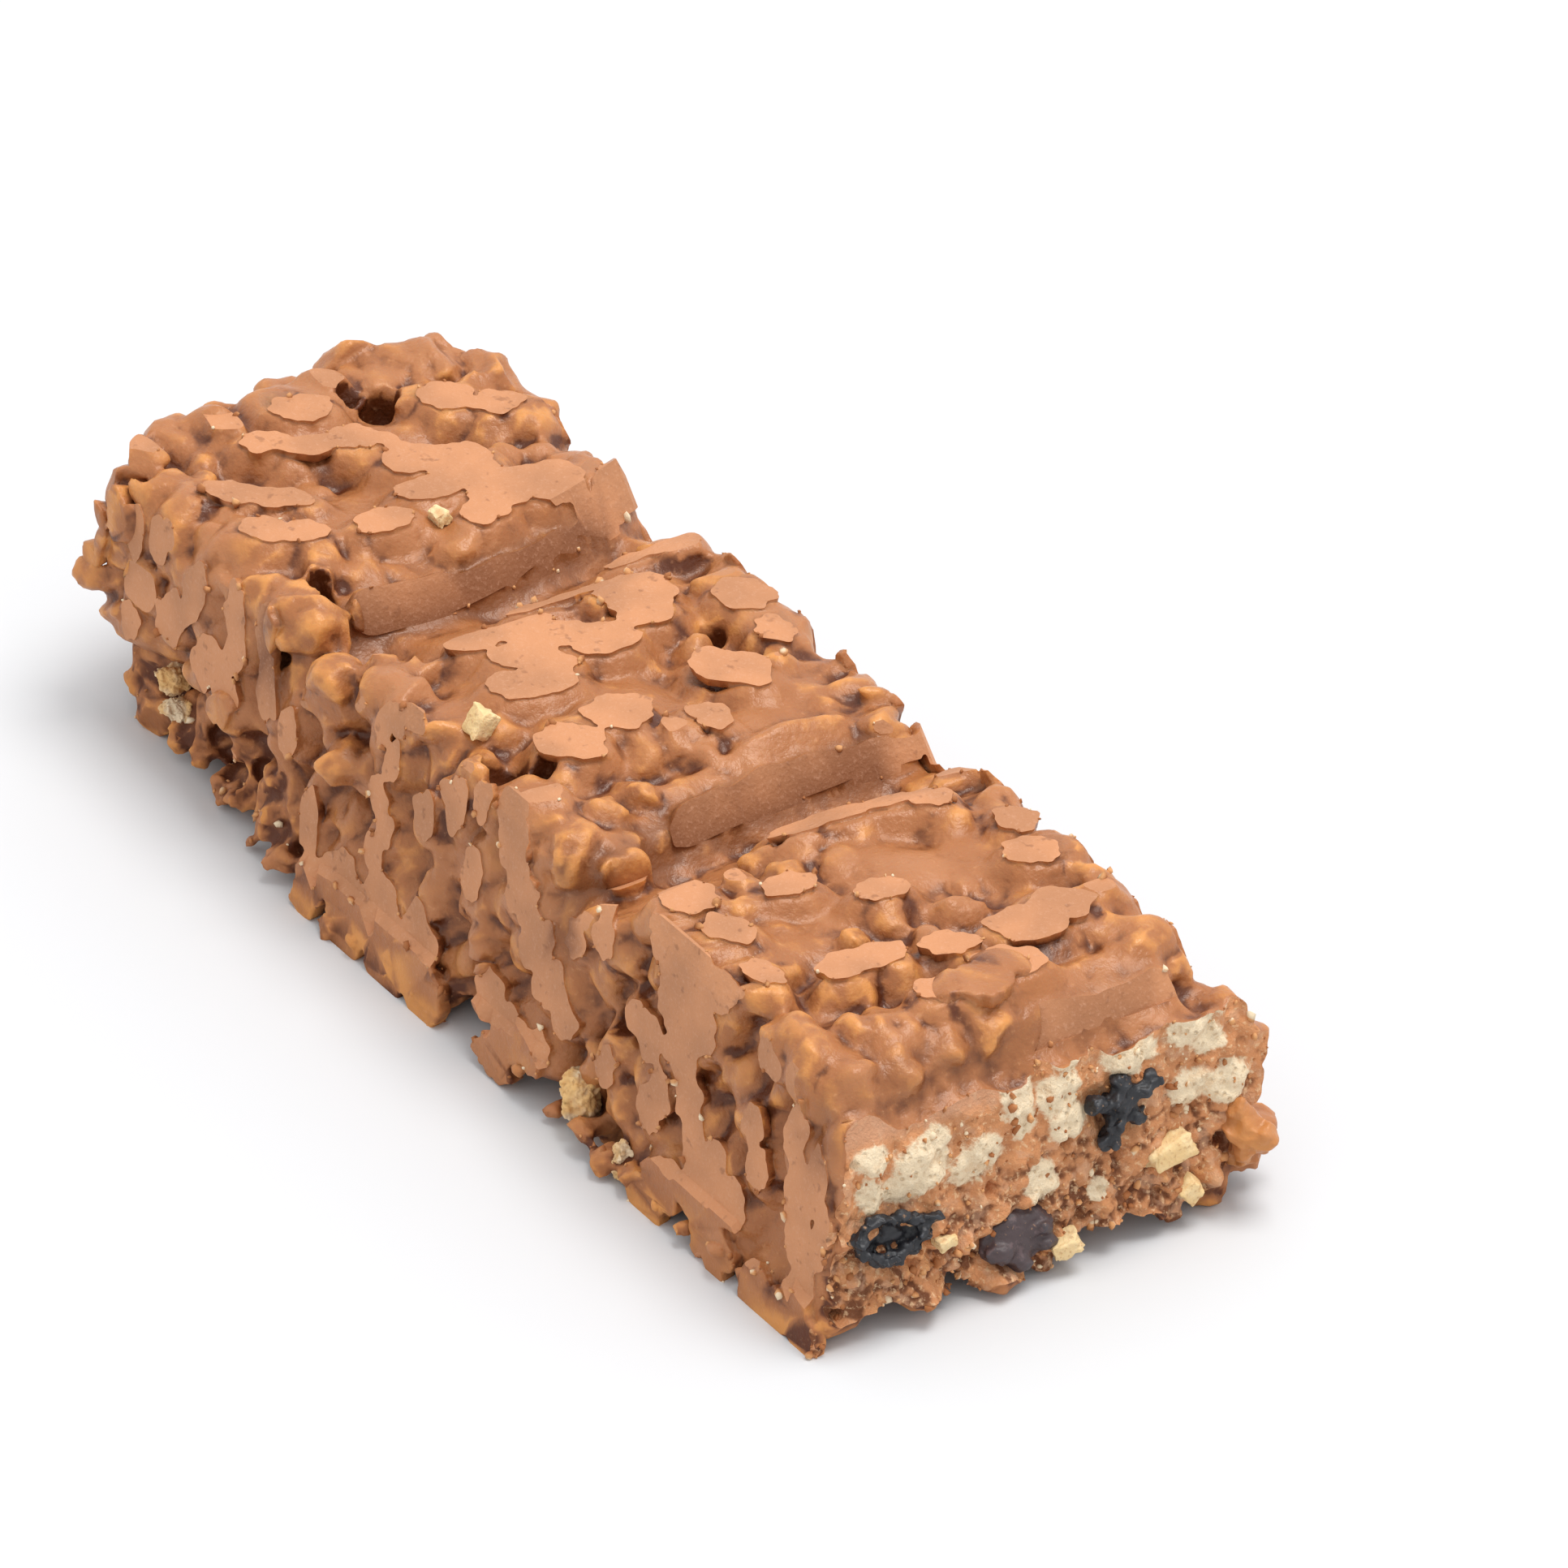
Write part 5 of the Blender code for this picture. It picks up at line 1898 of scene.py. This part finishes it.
class CEREALBAR_OT_raisins(bpy.types.Operator):
    """Builds the three raisins set in the broken face"""

    bl_idname = "cereal_bar.raisins"
    bl_label = "Raisins"

    def execute(self, context):
        colours = context.scene.cereal_bar_colours
        for i, (name, body, ring, wrinkles, share) in enumerate(RAISINS):
            raisin = make_raisin(name, body, ring, wrinkles, 20.0 + 7.0 * i)
            cut_open = name == CUT_RAISIN
            skin = scaled(colours.flesh, 0.6) if cut_open else colours.skin
            flesh = colours.flesh if cut_open else RAISIN_TEAR
            settle(raisin, raisin_material(name + "_skin", skin, flesh, share))
            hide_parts(name)
            raisin.name = name + "_dressed"
        return {"FINISHED"}


class CEREALBAR_OT_bits(bpy.types.Operator):
    """Builds the bare crisps, the nut bits and the coated lumps at the broken corner"""

    bl_idname = "cereal_bar.bits"
    bl_label = "Crisps and Nuts"

    def execute(self, context):
        colours = context.scene.cereal_bar_colours
        settle(make_bare_crisps(), crisp_material(colours))
        settle(make_nut_bits(), nut_material(colours))
        settle(make_coated_lumps(), film_material(colours))
        return {"FINISHED"}


class CEREALBAR_OT_stage(bpy.types.Operator):
    """Sets the pale floor, the soft light and the camera"""

    bl_idname = "cereal_bar.stage"
    bl_label = "Floor, Light and Camera"

    def execute(self, context):
        studio = context.scene.cereal_bar_studio
        make_floor(studio)
        make_lights(context.scene, studio)
        make_camera(context.scene)
        context.scene.view_settings.view_transform = "Standard"
        context.scene.cycles.use_denoising = True
        return {"FINISHED"}


def make_floor(studio):
    """A square floor under the bar."""
    shape = bmesh.new()
    bmesh.ops.create_grid(shape, x_segments=2, y_segments=2, size=0.5 * studio.floor_side)
    bmesh.ops.translate(shape, vec=(0.0, 0.0, cad_box[0][2]), verts=shape.verts)
    new_object("floor", shape, (floor_material(studio.floor),))


def make_lights(scene, studio):
    """A white sky all round and one large soft lamp, overhead and to the right."""
    sky = bpy.data.worlds.new("sky")
    sky.use_nodes = True
    background = sky.node_tree.nodes["Background"]
    background.inputs["Color"].default_value = SKY_COLOUR
    background.inputs["Strength"].default_value = studio.sky
    scene.world = sky
    lamp_data = bpy.data.lights.new("lamp", "AREA")
    lamp_data.energy = studio.lamp
    lamp_data.size = studio.lamp_side
    lamp = bpy.data.objects.new("lamp", lamp_data)
    lamp.location = LAMP_PLACE
    lamp.rotation_euler = (-LAMP_PLACE).to_track_quat("-Z", "Y").to_euler()
    scene.collection.objects.link(lamp)


def make_camera(scene):
    """A long lens from the photograph's side, with its frame shifted as the photograph's is."""
    turn, rise = math.radians(CAMERA_AZIMUTH), math.radians(CAMERA_ELEVATION)
    back = Vector((math.sin(turn) * math.cos(rise), -math.cos(turn) * math.cos(rise), math.sin(rise)))
    right = Vector((math.cos(turn), math.sin(turn), 0.0))
    turned = Matrix((right, back.cross(right), back)).transposed().to_4x4()
    place = (CAMERA_TARGET + SHIFT + back * CAMERA_DISTANCE) * MM
    data = bpy.data.cameras.new("camera")
    data.sensor_width = SENSOR
    data.lens = SENSOR * CAMERA_DISTANCE * PIXELS_PER_MM / PICTURE_SIDE
    data.shift_x = 0.5 - TARGET_PIXEL[0] / PICTURE_SIDE
    data.shift_y = TARGET_PIXEL[1] / PICTURE_SIDE - 0.5
    data.clip_start = 0.01
    camera = bpy.data.objects.new("camera", data)
    camera.matrix_world = Matrix.Translation(place) @ turned
    scene.collection.objects.link(camera)
    scene.camera = camera


class CEREALBAR_PT_panel(bpy.types.Panel):
    """Lists the settings and the operators"""

    bl_idname = "CEREALBAR_PT_panel"
    bl_label = "Cereal Bar"
    bl_space_type = "VIEW_3D"
    bl_region_type = "UI"
    bl_category = "Cereal Bar"

    def draw(self, context):
        scene = context.scene
        for settings in (scene.cereal_bar_sizes, scene.cereal_bar_colours, scene.cereal_bar_studio):
            box = self.layout.box()
            for name in settings.__annotations__:
                box.prop(settings, name)
        for operator in OPERATORS:
            self.layout.operator(operator.bl_idname)


OPERATORS = (CEREALBAR_OT_mass, CEREALBAR_OT_raisins, CEREALBAR_OT_bits, CEREALBAR_OT_stage)
SETTINGS = (BarSizes, BarColours, StudioSettings)


def register():
    """Adds the settings, the operators and the panel."""
    for group in SETTINGS + OPERATORS + (CEREALBAR_PT_panel,):
        bpy.utils.register_class(group)
    bpy.types.Scene.cereal_bar_sizes = PointerProperty(type=BarSizes)
    bpy.types.Scene.cereal_bar_colours = PointerProperty(type=BarColours)
    bpy.types.Scene.cereal_bar_studio = PointerProperty(type=StudioSettings)


def unregister():
    """Takes them all away again."""
    del bpy.types.Scene.cereal_bar_studio
    del bpy.types.Scene.cereal_bar_colours
    del bpy.types.Scene.cereal_bar_sizes
    for group in reversed(SETTINGS + OPERATORS + (CEREALBAR_PT_panel,)):
        bpy.utils.unregister_class(group)


def main():
    """Builds everything."""
    register()
    bpy.ops.cereal_bar.mass()
    bpy.ops.cereal_bar.raisins()
    bpy.ops.cereal_bar.bits()
    bpy.ops.cereal_bar.stage()


if __name__ == "__main__":
    main()
